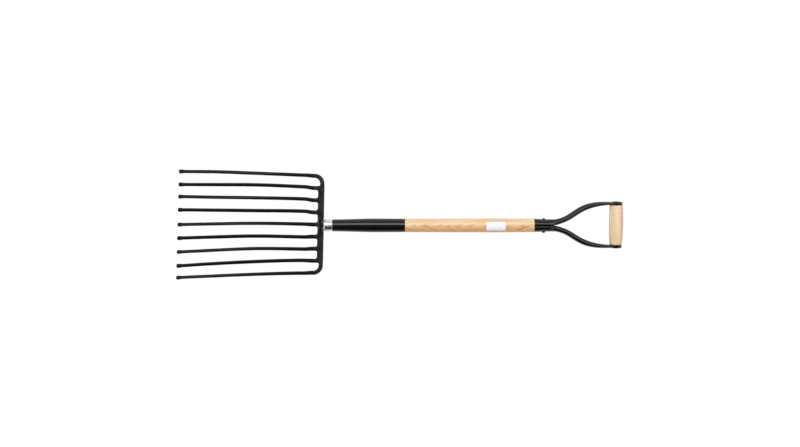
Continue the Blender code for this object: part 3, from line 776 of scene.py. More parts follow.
@dataclass(frozen=True)
class Streak:
    """A dark mineral streak on the shaft, between two places in the tool's frame."""

    start: Pair
    end: Pair
    half_width: float
    colour: Colour = (0.460, 0.170, 0.045, 1.0)
    share: float = 0.85  # how much of the colour shows
    waves: Pattern = Pattern(45.0)
    wave_height: float = 0.0025
    core: float = 0.15  # share of the half width at which the streak is full
    fade_in: Pair = (-0.1, 0.25)  # shares of the length between which it begins
    fade_out: Pair = (1.15, 0.75)
    front: Pair = (0.0, 0.004)  # heights above the handle axis between which it begins to show

    def drawn(self, graph: Graph, place: Socket, colour: Socket) -> Socket:
        """Draw the streak over a colour, on the side that faces up.

        Args:
            graph: The material's nodes.
            place: The place on the shaft.
            colour: The wood's colour.

        Returns:
            The colour with the streak.
        """
        parts = graph.axes(place)
        length = math.dist(self.start, self.end)
        way = [(b - a) / length for a, b in zip(self.start, self.end)]
        x, y = (graph.math("SUBTRACT", part, start) for part, start in zip(parts, self.start))
        wave = graph.added(-self.wave_height, graph.pattern(place, self.waves), 2.0 * self.wave_height)
        along = graph.added(graph.times(y, way[1]), x, way[0])
        off = graph.added(graph.added(wave, y, way[0]), x, -way[1])
        body = graph.step(graph.math("ABSOLUTE", off), self.half_width, self.core * self.half_width)
        ends = (self.fade_in, self.fade_out)
        fades = (graph.step(along, *(part * length for part in fade)) for fade in ends)
        mask = graph.times(body, graph.times(*fades), graph.step(parts[2], *self.front))
        return graph.blend(graph.times(mask, self.share), colour, self.colour)


@dataclass(frozen=True)
class Wood(Finish):
    """Varnished wood, with painted shade that darkens one side."""

    pale: Colour
    warm: Colour
    late: Colour
    pore: Colour
    turn: Triple
    pith: Pair
    ring_width: float
    cone: float
    wander: float
    late_share: float
    pore_share: float
    # Painted shade: a tint multiplied into the colour on one side of the piece, along a way, over a range.
    painted_shade_tint: Colour
    painted_shade_way: Triple
    painted_shade_range: Pair  # where along that way the painted shade begins and is full
    specular: float = 0.8
    relief: float = 0.00012
    warm_range: Pair = (0.38, 0.64)  # the tones at which the warm colour begins and is full
    fibre_shade: Pair = (0.88, 1.10)
    fibre_height: float = 0.3
    pore_height: float = -0.8
    pore_rough: float = 0.18
    streaks: tuple[Streak, ...] = ()

    def surface(self, graph: Graph, place: Socket) -> dict[str, Value]:
        """Add the figure, painted shade on one side, the streaks and the varnish that sinks into the pores.

        Args:
            graph: The material's nodes.
            place: The place in the tool's frame.

        Returns:
            What feeds the Principled BSDF, by the input's name.
        """
        grain = graph.add("Mapping", {"Vector": place, "Rotation": self.turn}).outputs[0]
        figure = WoodFigure().use(graph, grain, *self.pith, self.ring_width, self.cone, self.wander)
        late, pores, tone, fibres = figure
        colour = graph.blend(graph.step(tone, *self.warm_range), self.pale, self.warm)
        colour = graph.blend(graph.times(late, self.late_share), colour, self.late)
        colour = graph.blend(graph.times(pores, self.pore_share), colour, self.pore)
        shade = graph.spread(fibres, *self.fibre_shade)
        shade = graph.add("CombineColor", dict.fromkeys(range(3), shade)).outputs[0]
        colour = graph.blend(1.0, colour, shade, "MULTIPLY")
        # Painted shade: the side where the light falls off is darkened and warmed.
        inputs = {0: place, 1: self.painted_shade_way}
        across = graph.add("VectorMath", inputs, operation="DOT_PRODUCT").outputs["Value"]
        colour = graph.blend(graph.step(across, *self.painted_shade_range), colour, self.painted_shade_tint, "MULTIPLY")
        for streak in self.streaks:
            colour = streak.drawn(graph, place, colour)
        height = graph.added(graph.times(fibres, self.fibre_height), pores, self.pore_height)
        return {
            "Base Color": colour,
            "Roughness": graph.added(self.roughness, pores, self.pore_rough),
            "Specular IOR Level": self.specular,
            "Normal": graph.bump(height, self.relief),
        }


@dataclass(frozen=True)
class Zinc(Finish):
    """Bright zinc plate: fine crystals, dull clouds and the lines of the press."""

    colour: Colour = (0.78, 0.83, 0.85, 1.0)
    dull_colour: Colour = (0.60, 0.65, 0.68, 1.0)
    clouds: Pattern = Pattern(330.0, 4.0, 0.65, (0.42, 0.62))
    cloud_share: float = 0.50
    crystals: float = 650.0  # to a metre
    crystal_share: float = 0.20
    uneven_rough: Pair = (0.7, 1.5)
    lines: Pattern = Pattern((2600.0, 90.0, 90.0), 1.0)
    line_height: float = 0.3
    relief: float = 0.00003

    def surface(self, graph: Graph, place: Socket) -> dict[str, Value]:
        """Add clouds, crystals and fine relief.

        Args:
            graph: The material's nodes.
            place: The place in the tool's frame.

        Returns:
            What feeds the Principled BSDF, by the input's name.
        """
        clouds = graph.pattern(place, self.clouds)
        crystals = graph.add("TexVoronoi", {"Vector": place, "Scale": self.crystals}).outputs["Color"]
        sparkle = graph.add("SeparateColor", {0: crystals}).outputs[0]
        mottle = graph.added(graph.times(clouds, self.cloud_share), sparkle, self.crystal_share)
        height = graph.added(clouds, graph.pattern(place, self.lines), self.line_height)
        return {
            "Base Color": graph.blend(mottle, self.colour, self.dull_colour),
            "Metallic": 1.0,
            "Roughness": graph.spread(mottle, *(part * self.roughness for part in self.uneven_rough)),
            "Normal": graph.bump(height, self.relief),
        }


@dataclass(frozen=True)
class Paper(Finish):
    """A blank white label of smooth paper, a little grey where hands have rubbed it."""

    colour: Colour = (0.86, 0.86, 0.88, 1.0)
    rubbed: Colour = (0.72, 0.72, 0.75, 1.0)
    patches: Pattern = Pattern(120.0, 4.0, 0.6, (0.45, 0.75))
    rubbed_rough: float = 1.3
    fibres: Pattern = Pattern(2500.0, 3.0)
    relief: float = 0.00003

    def surface(self, graph: Graph, place: Socket) -> dict[str, Value]:
        """Add rubbed patches and the paper's fibres.

        Args:
            graph: The material's nodes.
            place: The place in the tool's frame.

        Returns:
            What feeds the Principled BSDF, by the input's name.
        """
        patches = graph.pattern(place, self.patches)
        return {
            "Base Color": graph.blend(patches, self.colour, self.rubbed),
            "Roughness": graph.spread(patches, self.roughness, self.rubbed_rough * self.roughness),
            "Normal": graph.bump(graph.pattern(place, self.fibres), self.relief),
        }


@dataclass(frozen=True)
class BackdropWhite(Finish):
    """A pale floor that takes the tool's shadow and reads as white to camera and mirror rays."""

    colour: Colour = (0.84, 0.84, 0.84, 1.0)
    cloud_tone: float = 0.985
    clouds: Pattern = Pattern(1.5)
    light: float = 1.03
    shadow_share: float = 0.03

    def surface(self, graph: Graph, place: Socket) -> dict[str, Value]:
        """Mix the pale floor with plain white for the rays that look at it or mirror it.

        Args:
            graph: The material's nodes.
            place: The place in the tool's frame.

        Returns:
            What feeds the Principled BSDF, by the input's name.
        """
        light = graph.add("Emission", {"Color": WHITE, "Strength": self.light})
        path = graph.add("LightPath").outputs
        seen = graph.math("MAXIMUM", path["Is Camera Ray"], path["Is Glossy Ray"])
        seen = graph.math("MAXIMUM", seen, path["Is Transmission Ray"])
        nodes = graph.tree.nodes
        mixed = {
            0: graph.times(seen, 1.0 - self.shadow_share),
            1: nodes["Principled BSDF"].outputs[0],
            2: light.outputs[0],
        }
        graph.feed(nodes["Material Output"], {"Surface": graph.add("MixShader", mixed).outputs[0]})
        clouds = graph.pattern(place, self.clouds)
        return {
            "Base Color": graph.blend(clouds, self.colour, toned(self.colour, self.cloud_tone)),
            "Roughness": self.roughness,
            "Specular IOR Level": 0.0,
        }


class Dress(Enum):
    """The finishes of the tool and of its floor."""

    HEAD = BlackPaint(
        "head_lacquer",
        0.32,
        colour=(0.0040, 0.0036, 0.0034, 1.0),
        specular=0.14,
        wave_size=0.016,
        peel_share=0.03,
        relief=0.00010,
        wear=0.25,
        strap_paling=0.95,
    )
    SHAFT_FRONT = BlackPaint(
        "shaft_lacquer",
        0.15,
        colour=(0.0040, 0.0028, 0.0022, 1.0),
        specular=0.41,
        relief=0.00004,
        wear=0.12,
    )
    HANDLE = BlackPaint(
        "handle_paint",
        0.17,
        colour=(0.0040, 0.0029, 0.0026, 1.0),
        specular=0.41,
        relief=0.00004,
        wear=0.15,
    )
    RIVET = BlackPaint("rivet_paint", 0.34, colour=(0.016, 0.014, 0.013, 1.0), wear=1.0)
    ASH = Wood(
        "varnished_ash",
        0.36,
        pale=(0.742, 0.565, 0.372, 1.0),
        warm=(0.675, 0.460, 0.242, 1.0),
        late=(0.570, 0.275, 0.085, 1.0),
        pore=(0.420, 0.205, 0.080, 1.0),
        turn=(0.0, 0.0, 0.0),
        pith=(0.0060, -0.0670),
        ring_width=0.0023,
        cone=0.075,
        wander=0.0056,
        late_share=1.0,
        pore_share=0.25,
        # Painted shade: the shaft's -y side, away from the strip light, is darkened and made more orange.
        painted_shade_tint=(1.04, 0.84, 0.575, 1.0),
        painted_shade_way=(0.0, 1.0, 0.0),
        painted_shade_range=(0.009, -0.015),
        streaks=(Streak((0.4990, -0.0140), (0.5400, 0.0030), 0.0025),),
    )
    BEECH = Wood(
        "varnished_beech",
        0.42,
        pale=(0.828, 0.645, 0.440, 1.0),
        warm=(0.750, 0.540, 0.325, 1.0),
        late=(0.530, 0.300, 0.125, 1.0),
        pore=(0.480, 0.270, 0.120, 1.0),
        turn=(0.0, 0.0, RIGHT_ANGLE),
        pith=(0.120, -0.050),
        ring_width=0.0040,
        cone=0.012,
        wander=0.0040,
        late_share=0.45,
        pore_share=0.30,
        # Painted shade: the grip's +x side is darkened and warmed.
        painted_shade_tint=(0.71, 0.57, 0.45, 1.0),
        painted_shade_way=(1.0, 0.0, 0.0),
        painted_shade_range=(0.7650, 0.7790),
    )
    ZINC = Zinc("zinc_plate", 0.24)
    LABEL = Paper("blank_label", 0.5)
    FLOOR = BackdropWhite("pale_floor", 0.9)


@dataclass
class Workshop:
    """Where finished pieces go: laid at the tool's slope and fixed to the frame's only body."""

    lie: Matrix  # from the tool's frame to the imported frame
    pieces: int = 0

    def __post_init__(self) -> None:
        """Tell the materials where the tool's frame is."""
        ToolPlace(self.lie).tree()

    def add(
        self,
        name: str,
        mesh: bpy.types.Mesh,
        dress: Dress,
        slot: str,
        node: str = "",
        second: Dress | None = None,
    ) -> None:
        """Add a piece of the tool.

        Args:
            name: The piece's name.
            mesh: Its mesh, in the tool's frame.
            dress: Its finish.
            slot: The record's material slot that the finish belongs to; not used.
            node: The frame's node that the piece is shown in place of, if any.
            second: The finish of the faces that have the second material index.
        """
        mesh.name = name
        mesh.transform(self.lie)
        piece = placed(name, mesh)
        for finish in filter(None, (dress, second)):
            mesh.materials.append(finish.value.material())
        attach(piece, BODY)
        if node:
            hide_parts(node)
        self.pieces += 1
        log.info("%s: %d faces, %s", name, len(mesh.polygons), dress.value.name)


@dataclass
class ForkHead:
    """Nine hand-set tines on a cross strap, and the neck that rises from it into the ferrule."""

    shop: Workshop
    tine_count: int = 9
    tine_length: float = 0.3656
    root_size: float = 0.0110
    shoulder_size: float = 0.0099
    middle_size: float = 0.0091
    tip_size: float = 0.0080
    belly: float = 0.0275
    twist: float = math.radians(24)
    button_size: float = 0.0098
    button_length: float = 0.0085
    button_neck: float = 0.45  # share of the button's length over which the bar swells into it
    button_round: float = 0.30  # share of its size over which its end is rounded
    button_flat: float = 0.52  # how much of the section's area that rounding takes away
    root_pitch: float = 0.0320
    shoulder_pitch: float = 0.0325
    tip_pitch: float = 0.0353
    tip_rise: float = 0.011
    tip_lean: float = 0.046
    strap_lean: float = 0.027
    strap_width: float = 0.0169
    strap_thickness: float = 0.0116
    strap_power: float = 3.4  # how square the strap's section is
    strap_flat: float = 0.8  # power that draws its faces out to its edges, the flatter the smaller it is
    strap_z: float = -0.028
    strap_stretches: int = 80
    strap_points: int = 32
    stub_length: float = 0.0064
    root_overlap: float = 0.4  # share of the strap's width that an inner tine reaches back into it
    fillet: float = 0.0045
    level_start: float = 0.0040
    bow: float = 0.006  # half the length over which a tine bends down out of its level start
    corner_radius: float = 0.020  # of the bend in an outer tine
    corner_turns: int = 14
    corner_inset: float = 0.0006  # how much closer to its centre the bend is beside the strap
    neck_setback: float = 0.00815
    neck_base_width: float = 0.046
    neck_base_depth: float = 0.0130
    neck_sink: float = 0.0012  # how deep its foot is in the strap
    neck_bend: float = 1.15  # the bend's radius against the tang's
    neck_swell: float = 0.25  # how much wider than the tang the neck is where its bend begins
    neck_steps: int = 22
    neck_turns: int = 14
    neck_points: int = 40
    tang_radius: float = 0.0066
    tang_point: float = 0.0030
    tang_length: float = 0.145
    tang_entry: float = 0.0252
    shoulder_share: float = 0.08
    middle_share: float = 0.45
    late_share: float = 0.75
    # How far each tine stands off the even spacing, at its shoulder, middle, last quarter and tip
    tine_set: tuple[tuple[float, float, float, float], ...] = (
        (-0.0006, -0.0003, 0.0001, -0.0015),
        (0.0014, 0.0027, 0.0009, -0.0001),
        (0.0019, 0.0020, 0.0021, 0.0034),
        (0.0021, 0.0017, 0.0025, 0.0040),
        (0.0006, 0.0014, 0.0006, 0.0004),
        (-0.0010, 0.0011, 0.0004, 0.0002),
        (-0.0006, 0.0011, -0.0006, -0.0012),
        (0.0018, -0.0001, -0.0017, -0.0027),
        (0.0002, -0.0006, -0.0003, 0.0013),
    )
    tine_stretches: int = 110
    root_stretches: int = 4  # of those, drawn finer because the tine bends down there
    fine_stretches: int = 30
    bar_points: int = 24
    bar_power: float = 3.4  # how square the tines' section is
    dent: float = 0.00012  # how deep the hammer has left the bars uneven
    bar_dents: float = 0.016  # size of the dents on the bars
    joint_dents: float = 0.011
    neck_dents: float = 0.008
    voxel: float = 0.0008
    melt_passes: int = 7
    joint_crease: float = 60.0
    joint_reach: float = 0.016  # how far the joint reaches in front of the strap
    joint_blend: float = 0.009  # over which the joint settles onto the plain bars
    joint_spare: float = 0.010  # length of bar in front of the joint that is melted in and then cut off
    bar_gap: float = 0.002  # least distance from a bar's end face to its next station

    def from_middle(self, number: int) -> float:
        """Return how many pitches a tine stands from the head's middle, towards +y."""
        return 0.5 * (self.tine_count - 1) - number

    def is_outer(self, number: int) -> bool:
        """Return whether a tine is one of the two that are bent round at the corners."""
        return number in (0, self.tine_count - 1)

    def tine_y(self, number: int, share: float) -> float:
        """Find a tine's sideways place.

        Args:
            number: The tine's number, from 0 at +y.
            share: The share of its length.

        Returns:
            The place there, with what the tine is out of line by.
        """
        root = self.from_middle(number) * self.root_pitch
        level = self.level_start / self.tine_length
        spread = max((share - self.shoulder_share) / (1.0 - self.shoulder_share), 0.0)
        pitch = between(self.shoulder_pitch, self.tip_pitch, spread)
        shares = (level, self.shoulder_share, self.middle_share, self.late_share, 1.0)
        stations = tuple(zip(shares, (0.0, *self.tine_set[number])))
        moved = ease((share - level) / (self.shoulder_share - level))
        return between(root, self.from_middle(number) * pitch, moved) + through(stations, share)

    def tine_z(self, x: float, dip_x: float, tip_x: float) -> float:
        """Return a tine's height at a place along the handle axis.

        Args:
            x: The place.
            dip_x: Where the tine, level at first, begins to dip.
            tip_x: Where it ends.

        Returns:
            The height, which is drawn into a small bow where the dip begins.
        """
        length = dip_x - tip_x
        gone = dip_x - x
        run = max(gone / length, 0.0)
        if abs(gone) < self.bow:
            gone = (gone + self.bow) ** 2 / (4.0 * self.bow)
        slope = (self.tip_rise - 4.0 * self.belly) / length
        return self.strap_z + slope * max(gone, 0.0) + 4.0 * self.belly * run**2

    def strap_rear(self, y: float) -> float:
        """Return where the strap's rear edge is at a sideways place."""
        return 0.5 * self.strap_width - self.neck_setback + self.strap_lean * y

    def strap_front(self, y: float) -> float:
        """Return where the strap's front face is at a sideways place."""
        return self.strap_rear(y) - self.strap_width

    def tip_x(self, y: float) -> float:
        """Return where a tine ends."""
        return -self.neck_setback - 0.5 * self.strap_width - self.tine_length + self.tip_lean * y

    def strap_end(self, side: float) -> float:
        """Return the sideways place of the strap's end."""
        return side * (self.from_middle(1) * self.root_pitch + 0.5 * self.root_size)

    def joint_x(self, y: float) -> float:
        """Return where the forged joint ends and the plain bar of a tine begins."""
        return self.strap_front(y) - self.joint_reach

    def bar_size(self, share: float) -> float:
        """Return a tine's size across the flats at a share of its length, without its button."""
        shares = (0.0, self.shoulder_share, self.middle_share, 1.0)
        return through(
            tuple(zip(shares, (self.root_size, self.shoulder_size, self.middle_size, self.tip_size))), share
        )

    def corner_stations(self, number: int) -> list[Station]:
        """Follow an outer tine from the strap round its corner.

        Args:
            number: The tine's number.

        Returns:
            Its stations up to where it points forwards and begins to dip.
        """
        side = math.copysign(1.0, self.from_middle(number))
        outer = self.tine_y(number, 0.0)
        radius = self.corner_radius
        bar_x = self.strap_rear(outer - side * radius) - 0.5 * self.root_size
        inner_y = self.strap_end(side) - side * self.root_size
        inner_x = self.strap_rear(inner_y) - 0.5 * self.root_size
        start = Vector((inner_x, inner_y, self.strap_z)) + Vector((-self.corner_inset, 0.0, 0.0))
        stations = [(start, self.strap_thickness, 0.0)]
        centre = Vector((bar_x - radius, outer - side * radius, 0.0))
        tip_x = self.tip_x(self.tine_y(number, 1.0))
        for i in range(self.corner_turns + 1):
            angle = RIGHT_ANGLE * i / self.corner_turns
            left = 1.0 - ease((i / self.corner_turns - 0.5) / 0.5)
            reach = radius - self.corner_inset * left
            place = centre + reach * Vector((math.cos(angle), side * math.sin(angle), 0.0))
            place.z = self.tine_z(place.x, bar_x - radius, tip_x)
            stations.append((place, between(self.root_size, self.strap_thickness, left), 0.0))
        return stations

    def tine_stations(self, number: int) -> list[Station]:
        """Follow a tine from the strap to its tip.

        Args:
            number: The tine's number, from 0 at +y.

        Returns:
            Place, size across the flats and tilt at each station of its whole course.
        """
        front = self.strap_front(self.tine_y(number, 0.0))
        start_x = front - self.stub_length - FIT
        tip_x = self.tip_x(self.tine_y(number, 1.0))
        reach = start_x - tip_x
        if self.is_outer(number):
            stations = self.corner_stations(number)
            outer = self.tine_y(number, 0.0)
            side = math.copysign(1.0, self.from_middle(number))
            bend_y = outer - side * self.corner_radius
            first_x = dip_x = self.strap_rear(bend_y) - 0.5 * self.root_size - self.corner_radius
        else:
            stations = []
            first_x = front + self.root_overlap * self.strap_width
            dip_x = start_x - self.level_start
        stretches, fine = self.tine_stretches, self.fine_stretches
        places = [between(dip_x, tip_x, i / stretches) for i in range(self.root_stretches, stretches + 1)]
        places = [between(first_x, places[0], i / fine) for i in range(1, fine)] + places
        way = 1.0 if number % 2 else -1.0
        neck = self.button_neck * self.button_length / reach
        for x in places:
            share = (start_x - x) / reach
            swell = ease((share - 1.0 + self.button_length / reach + neck) / neck)
            size = between(self.bar_size(share), self.button_size, swell)
            left = (1.0 - share) * reach / (self.button_round * self.button_size)
            if left < 1.0:
                size *= math.sqrt(1.0 - self.button_flat * (1.0 - left) ** 2)
            place = Vector((x, self.tine_y(number, share), self.tine_z(x, dip_x, tip_x)))
            stations.append((place, size, way * self.twist * ease(share)))
        return stations

    @staticmethod
    def section_ways(direction: Vector) -> Pair:
        """Return the directions across and up in a bar's section, square to its course."""
        across = direction.cross(UP).normalized()
        return across, across.cross(direction)

    def course(self, stations: Sequence[Station], i: int) -> Vector:
        """Return the direction in which a tine runs at one of its stations."""
        return (stations[min(i + 1, len(stations) - 1)][0] - stations[max(i - 1, 0)][0]).normalized()

    def bar_rings(self, stations: Sequence[Station]) -> list[Ring]:
        """Draw a squarish bar.

        Args:
            stations: The stations that it follows.

        Returns:
            Its rings, as the hammer left them.
        """
        rings = []
        for i, (place, size, tilt) in enumerate(stations):
            across, up = self.section_ways(self.course(stations, i))
            turn_across = across * math.cos(tilt) + up * math.sin(tilt)
            turn_up = up * math.cos(tilt) - across * math.sin(tilt)
            section = superellipse(0.5 * size, 0.5 * size, self.bar_power, self.bar_points)
            points = [place + turn_across * wide + turn_up * deep for wide, deep in section]
            rings.append([self.hammered(place, point, size) for point in points])
        return rings

    def hammered(self, place: Vector, point: Vector, size: float) -> Vector:
        """Return a point of a bar's skin, a little in or out as the hammer left it."""
        return place + (point - place) * (1.0 - 2.0 * self.dent * lumps(point, self.bar_dents) / size)

    @staticmethod
    def bar_at(stations: Sequence[Station], x: float) -> tuple[Station, Vector]:
        """Find where a tine's plain bar passes a place along the handle axis.

        Args:
            stations: The tine's whole course.
            x: The place.

        Returns:
            The station there, and the bar's direction towards its tip.
        """
        last = len(stations) - 1
        far = next(i for i in range(last, 0, -1) if i == 1 or stations[i - 1][0].x > x)
        near, beyond = stations[far - 1], stations[far]
        share = (near[0].x - x) / (near[0].x - beyond[0].x)
        size, tilt = (between(near[i], beyond[i], share) for i in (1, 2))
        direction = (beyond[0] - near[0]).normalized()
        return (near[0].lerp(beyond[0], share), size, tilt), direction

    def settled(self, point: Vector, courses: Sequence[Sequence[Station]]) -> Vector:
        """Bring a point of the joint onto its tine's plain bar near the joint's front end.

        Args:
            point: The point as the joint was melted.
            courses: The stations of every tine.

        Returns:
            The point, moved more the closer it is to the joint's front end.
        """
        number = round(0.5 * (self.tine_count - 1) - point.y / self.root_pitch)
        number = min(max(number, 0), self.tine_count - 1)
        ahead = point.x - self.joint_x(self.tine_y(number, 0.0))
        if ahead > self.joint_blend:
            return point
        (place, size, _), direction = self.bar_at(courses[number], point.x)
        place = place + direction * (point - place).dot(direction)
        way = (point - place).normalized()
        power = self.bar_power
        wide, deep = (abs(way.dot(axis)) ** power for axis in self.section_ways(direction))
        reach = 0.5 * size / max((wide + deep) ** (1.0 / power), TINY)
        skin = self.hammered(place, place + way * reach, size)
        return point.lerp(skin, 1.0 - ease(ahead / self.joint_blend))

    def add_tines(self) -> None:
        """Add each tine from the end of its forged joint to its tip."""
        for number in range(self.tine_count):
            stations = self.tine_stations(number)
            cut = self.joint_x(self.tine_y(number, 0.0))
            start, direction = self.bar_at(stations, cut)
            rings = self.bar_rings([start] + [s for s in stations if s[0].x < cut - self.bar_gap])
            run_in = [(self.joint_x(point.y) - point.x) / direction.x for point in rings[0]]
            rings[0] = [point + direction * run for point, run in zip(rings[0], run_in)]
            node = f"tine_{number + 1}"
            self.shop.add(f"{node}_bar", Shape().tube(rings).mesh(), Dress.HEAD, "head_steel", node)

    def strap_rings(self) -> list[Ring]:
        """Draw the cross strap, whose edges round off while its faces stay flat.

        Returns:
            Its rings, from end to end.
        """
        half = 0.5 * self.strap_width
        section = superellipse(half, 0.5 * self.strap_thickness, self.strap_power, self.strap_points)
        section = [
            (math.copysign(half * (abs(wide) / half) ** self.strap_flat, wide), deep)
            for wide, deep in section
        ]
        rings = []
        for i in range(self.strap_stretches + 1):
            y = between(self.strap_end(-1.0), self.strap_end(1.0), i / self.strap_stretches)
            centre = Vector((self.strap_rear(y) - half, y, self.strap_z))
            rings.append([centre + Vector((wide, 0.0, deep)) for wide, deep in section])
        return rings

    def flare(self, number: int, side: float, ahead: float) -> float:
        """Find how far an inner tine's root is drawn out into the strap or the corner bar.

        Args:
            number: The tine's number.
            side: The side of the tine, 1 towards +y.
            ahead: How far the place is in front of the strap.

        Returns:
            The width that the fillet adds on that side.
        """
        if self.is_outer(number - int(side)):
            ahead += self.strap_width - self.root_size
        inward = min(max(self.fillet - ahead, 0.0), self.fillet)
        return self.fillet - math.sqrt(self.fillet**2 - inward**2)

    def root_rings(self, number: int) -> list[Ring]:
        """Draw an inner tine's root, which flares into the strap.

        Args:
            number: The tine's number.

        Returns:
            Its rings, from inside the strap to in front of the joint's end.
        """
        rings = []
        cut = self.joint_x(self.tine_y(number, 0.0)) - self.joint_spare
        stations = self.tine_stations(number)
        for i, (place, size, _) in enumerate(stations):
            if place.x < cut:
                break
            across, up = self.section_ways(self.course(stations, i))
            ahead = self.strap_front(place.y) - place.x
            flares = [self.flare(number, side, ahead) for side in (1.0, -1.0)]
            ring = []
            for wide, deep in superellipse(0.5 * size, 0.5 * size, self.bar_power, self.bar_points):
                flare = flares[0] if wide > 0.0 else -flares[1]
                ring.append(place + across * (wide + flare * (abs(wide) / (0.5 * size))) + up * deep)
            rings.append(ring)
        return rings

    def melt(self, carrier: bpy.types.Object) -> None:
        """Melt the joint's parts together and let the lacquer round what is left.

        Args:
            carrier: The object that carries them.
        """
        remesh = carrier.modifiers.new("melt", "REMESH")
        remesh.mode, remesh.voxel_size = "VOXEL", self.voxel
        smooth = carrier.modifiers.new("lacquer", "SMOOTH")
        smooth.factor, smooth.iterations = 0.5, self.melt_passes

    def add_joint(self) -> None:
        """Add the forged joint: strap, tine roots and corner bars, melted into one lacquered form."""
        courses = [self.tine_stations(number) for number in range(self.tine_count)]
        shape = Shape().tube(self.strap_rings())
        for number in range(1, self.tine_count - 1):
            shape.tube(self.root_rings(number))
        for number in (0, self.tine_count - 1):
            cut = self.joint_x(self.tine_y(number, 0.0)) - self.joint_spare
            shape.tube(self.bar_rings([station for station in courses[number] if station[0].x > cut]))
        melted = Shape()
        melted.body.from_mesh(worked(shape.mesh(), self.melt))
        for vertex in melted.body.verts:
            dent = self.dent * lumps(vertex.co, self.joint_dents)
            vertex.co = self.settled(vertex.co + vertex.normal * dent, courses)
        lean = Vector((1.0, -self.strap_lean, 0.0)).normalized()
        melted.cut_off(Vector((self.joint_x(0.0), 0.0, self.strap_z)), -lean)
        self.shop.add("forged_joint", melted.mesh(self.joint_crease), Dress.HEAD, "head_steel", "bridge")

    def neck_ring(
        self, place: Vector, slope: float, half_width: float, half_depth: float, power: float
    ) -> Ring:
        """Draw one ring across the neck or the tang, square to its course.

        Args:
            place: Its middle.
            slope: The course's angle above the handle axis.
            half_width: Half of the ring's size across the tool.
            half_depth: Half of its size through.
            power: How square it is.

        Returns:
            The ring, as the hammer left it.
        """
        normal = Vector((-math.sin(slope), 0.0, math.cos(slope)))
        ring = []
        for wide, deep in superellipse(half_width, half_depth, power, self.neck_points):
            point = place + Vector((0.0, wide, 0.0)) + normal * deep
            inward = (place - point).normalized()
            ring.append(point + inward * self.dent * (1.0 + lumps(point, self.neck_dents)))
        return ring

    def add_neck(self) -> None:
        """Add the neck that rises from the strap and bends into the tang, with its weld at the foot."""
        tang = self.tang_radius
        bend = self.neck_bend * tang
        base_z = self.strap_z + 0.5 * self.strap_thickness - self.neck_sink
        foot, depth = self.neck_base_width, self.neck_base_depth
        weld, turned, plain = 3.6, 2.2, 2.0  # how square the foot, the bend and the tang are
        shares = (0.0, 0.14, 0.50, 0.85, 1.0)
        top = (1.42 * tang, (1.0 + self.neck_swell) * tang)
        widths = tuple(zip(shares, (0.5 * foot, 0.44 * foot, 0.28 * foot, *top)))
        depths = ((0.0, 0.56 * depth), (0.12, 0.50 * depth), (1.0, tang))
        rings = []
        for i in range(self.neck_steps):
            share = i / self.neck_steps
            place = Vector((-self.neck_setback, 0.0, base_z + (-bend - base_z) * share))
            half_width, half_depth = through(widths, share), through(depths, share)
            power = between(weld, turned, share)
            rings.append(self.neck_ring(place, RIGHT_ANGLE, half_width, half_depth, power))
        for i in range(self.neck_turns + 1):
            slope = RIGHT_ANGLE * (1.0 - i / self.neck_turns)
            x = -self.neck_setback + bend * (1.0 - math.sin(slope))
            place = Vector((x, 0.0, bend * (math.cos(slope) - 1.0)))
            half_width = tang * (1.0 + self.neck_swell * slope / RIGHT_ANGLE)
            power = between(turned, plain, i / self.neck_turns)
            rings.append(self.neck_ring(place, slope, half_width, tang, power))
        for share in (0.0, 0.25, 0.5, 0.75, 1.0):
            radius = between(tang, self.tang_point, share)
            place = Vector((between(self.tang_entry, self.tang_length, share), 0.0, 0.0))
            rings.append(self.neck_ring(place, 0.0, radius, radius, plain))
        self.shop.add("neck_and_tang", Shape().tube(rings).mesh(), Dress.HEAD, "head_steel", "tang")

    def build(self) -> None:
        """Add the whole head."""
        self.add_joint()
        self.add_tines()
        self.add_neck()


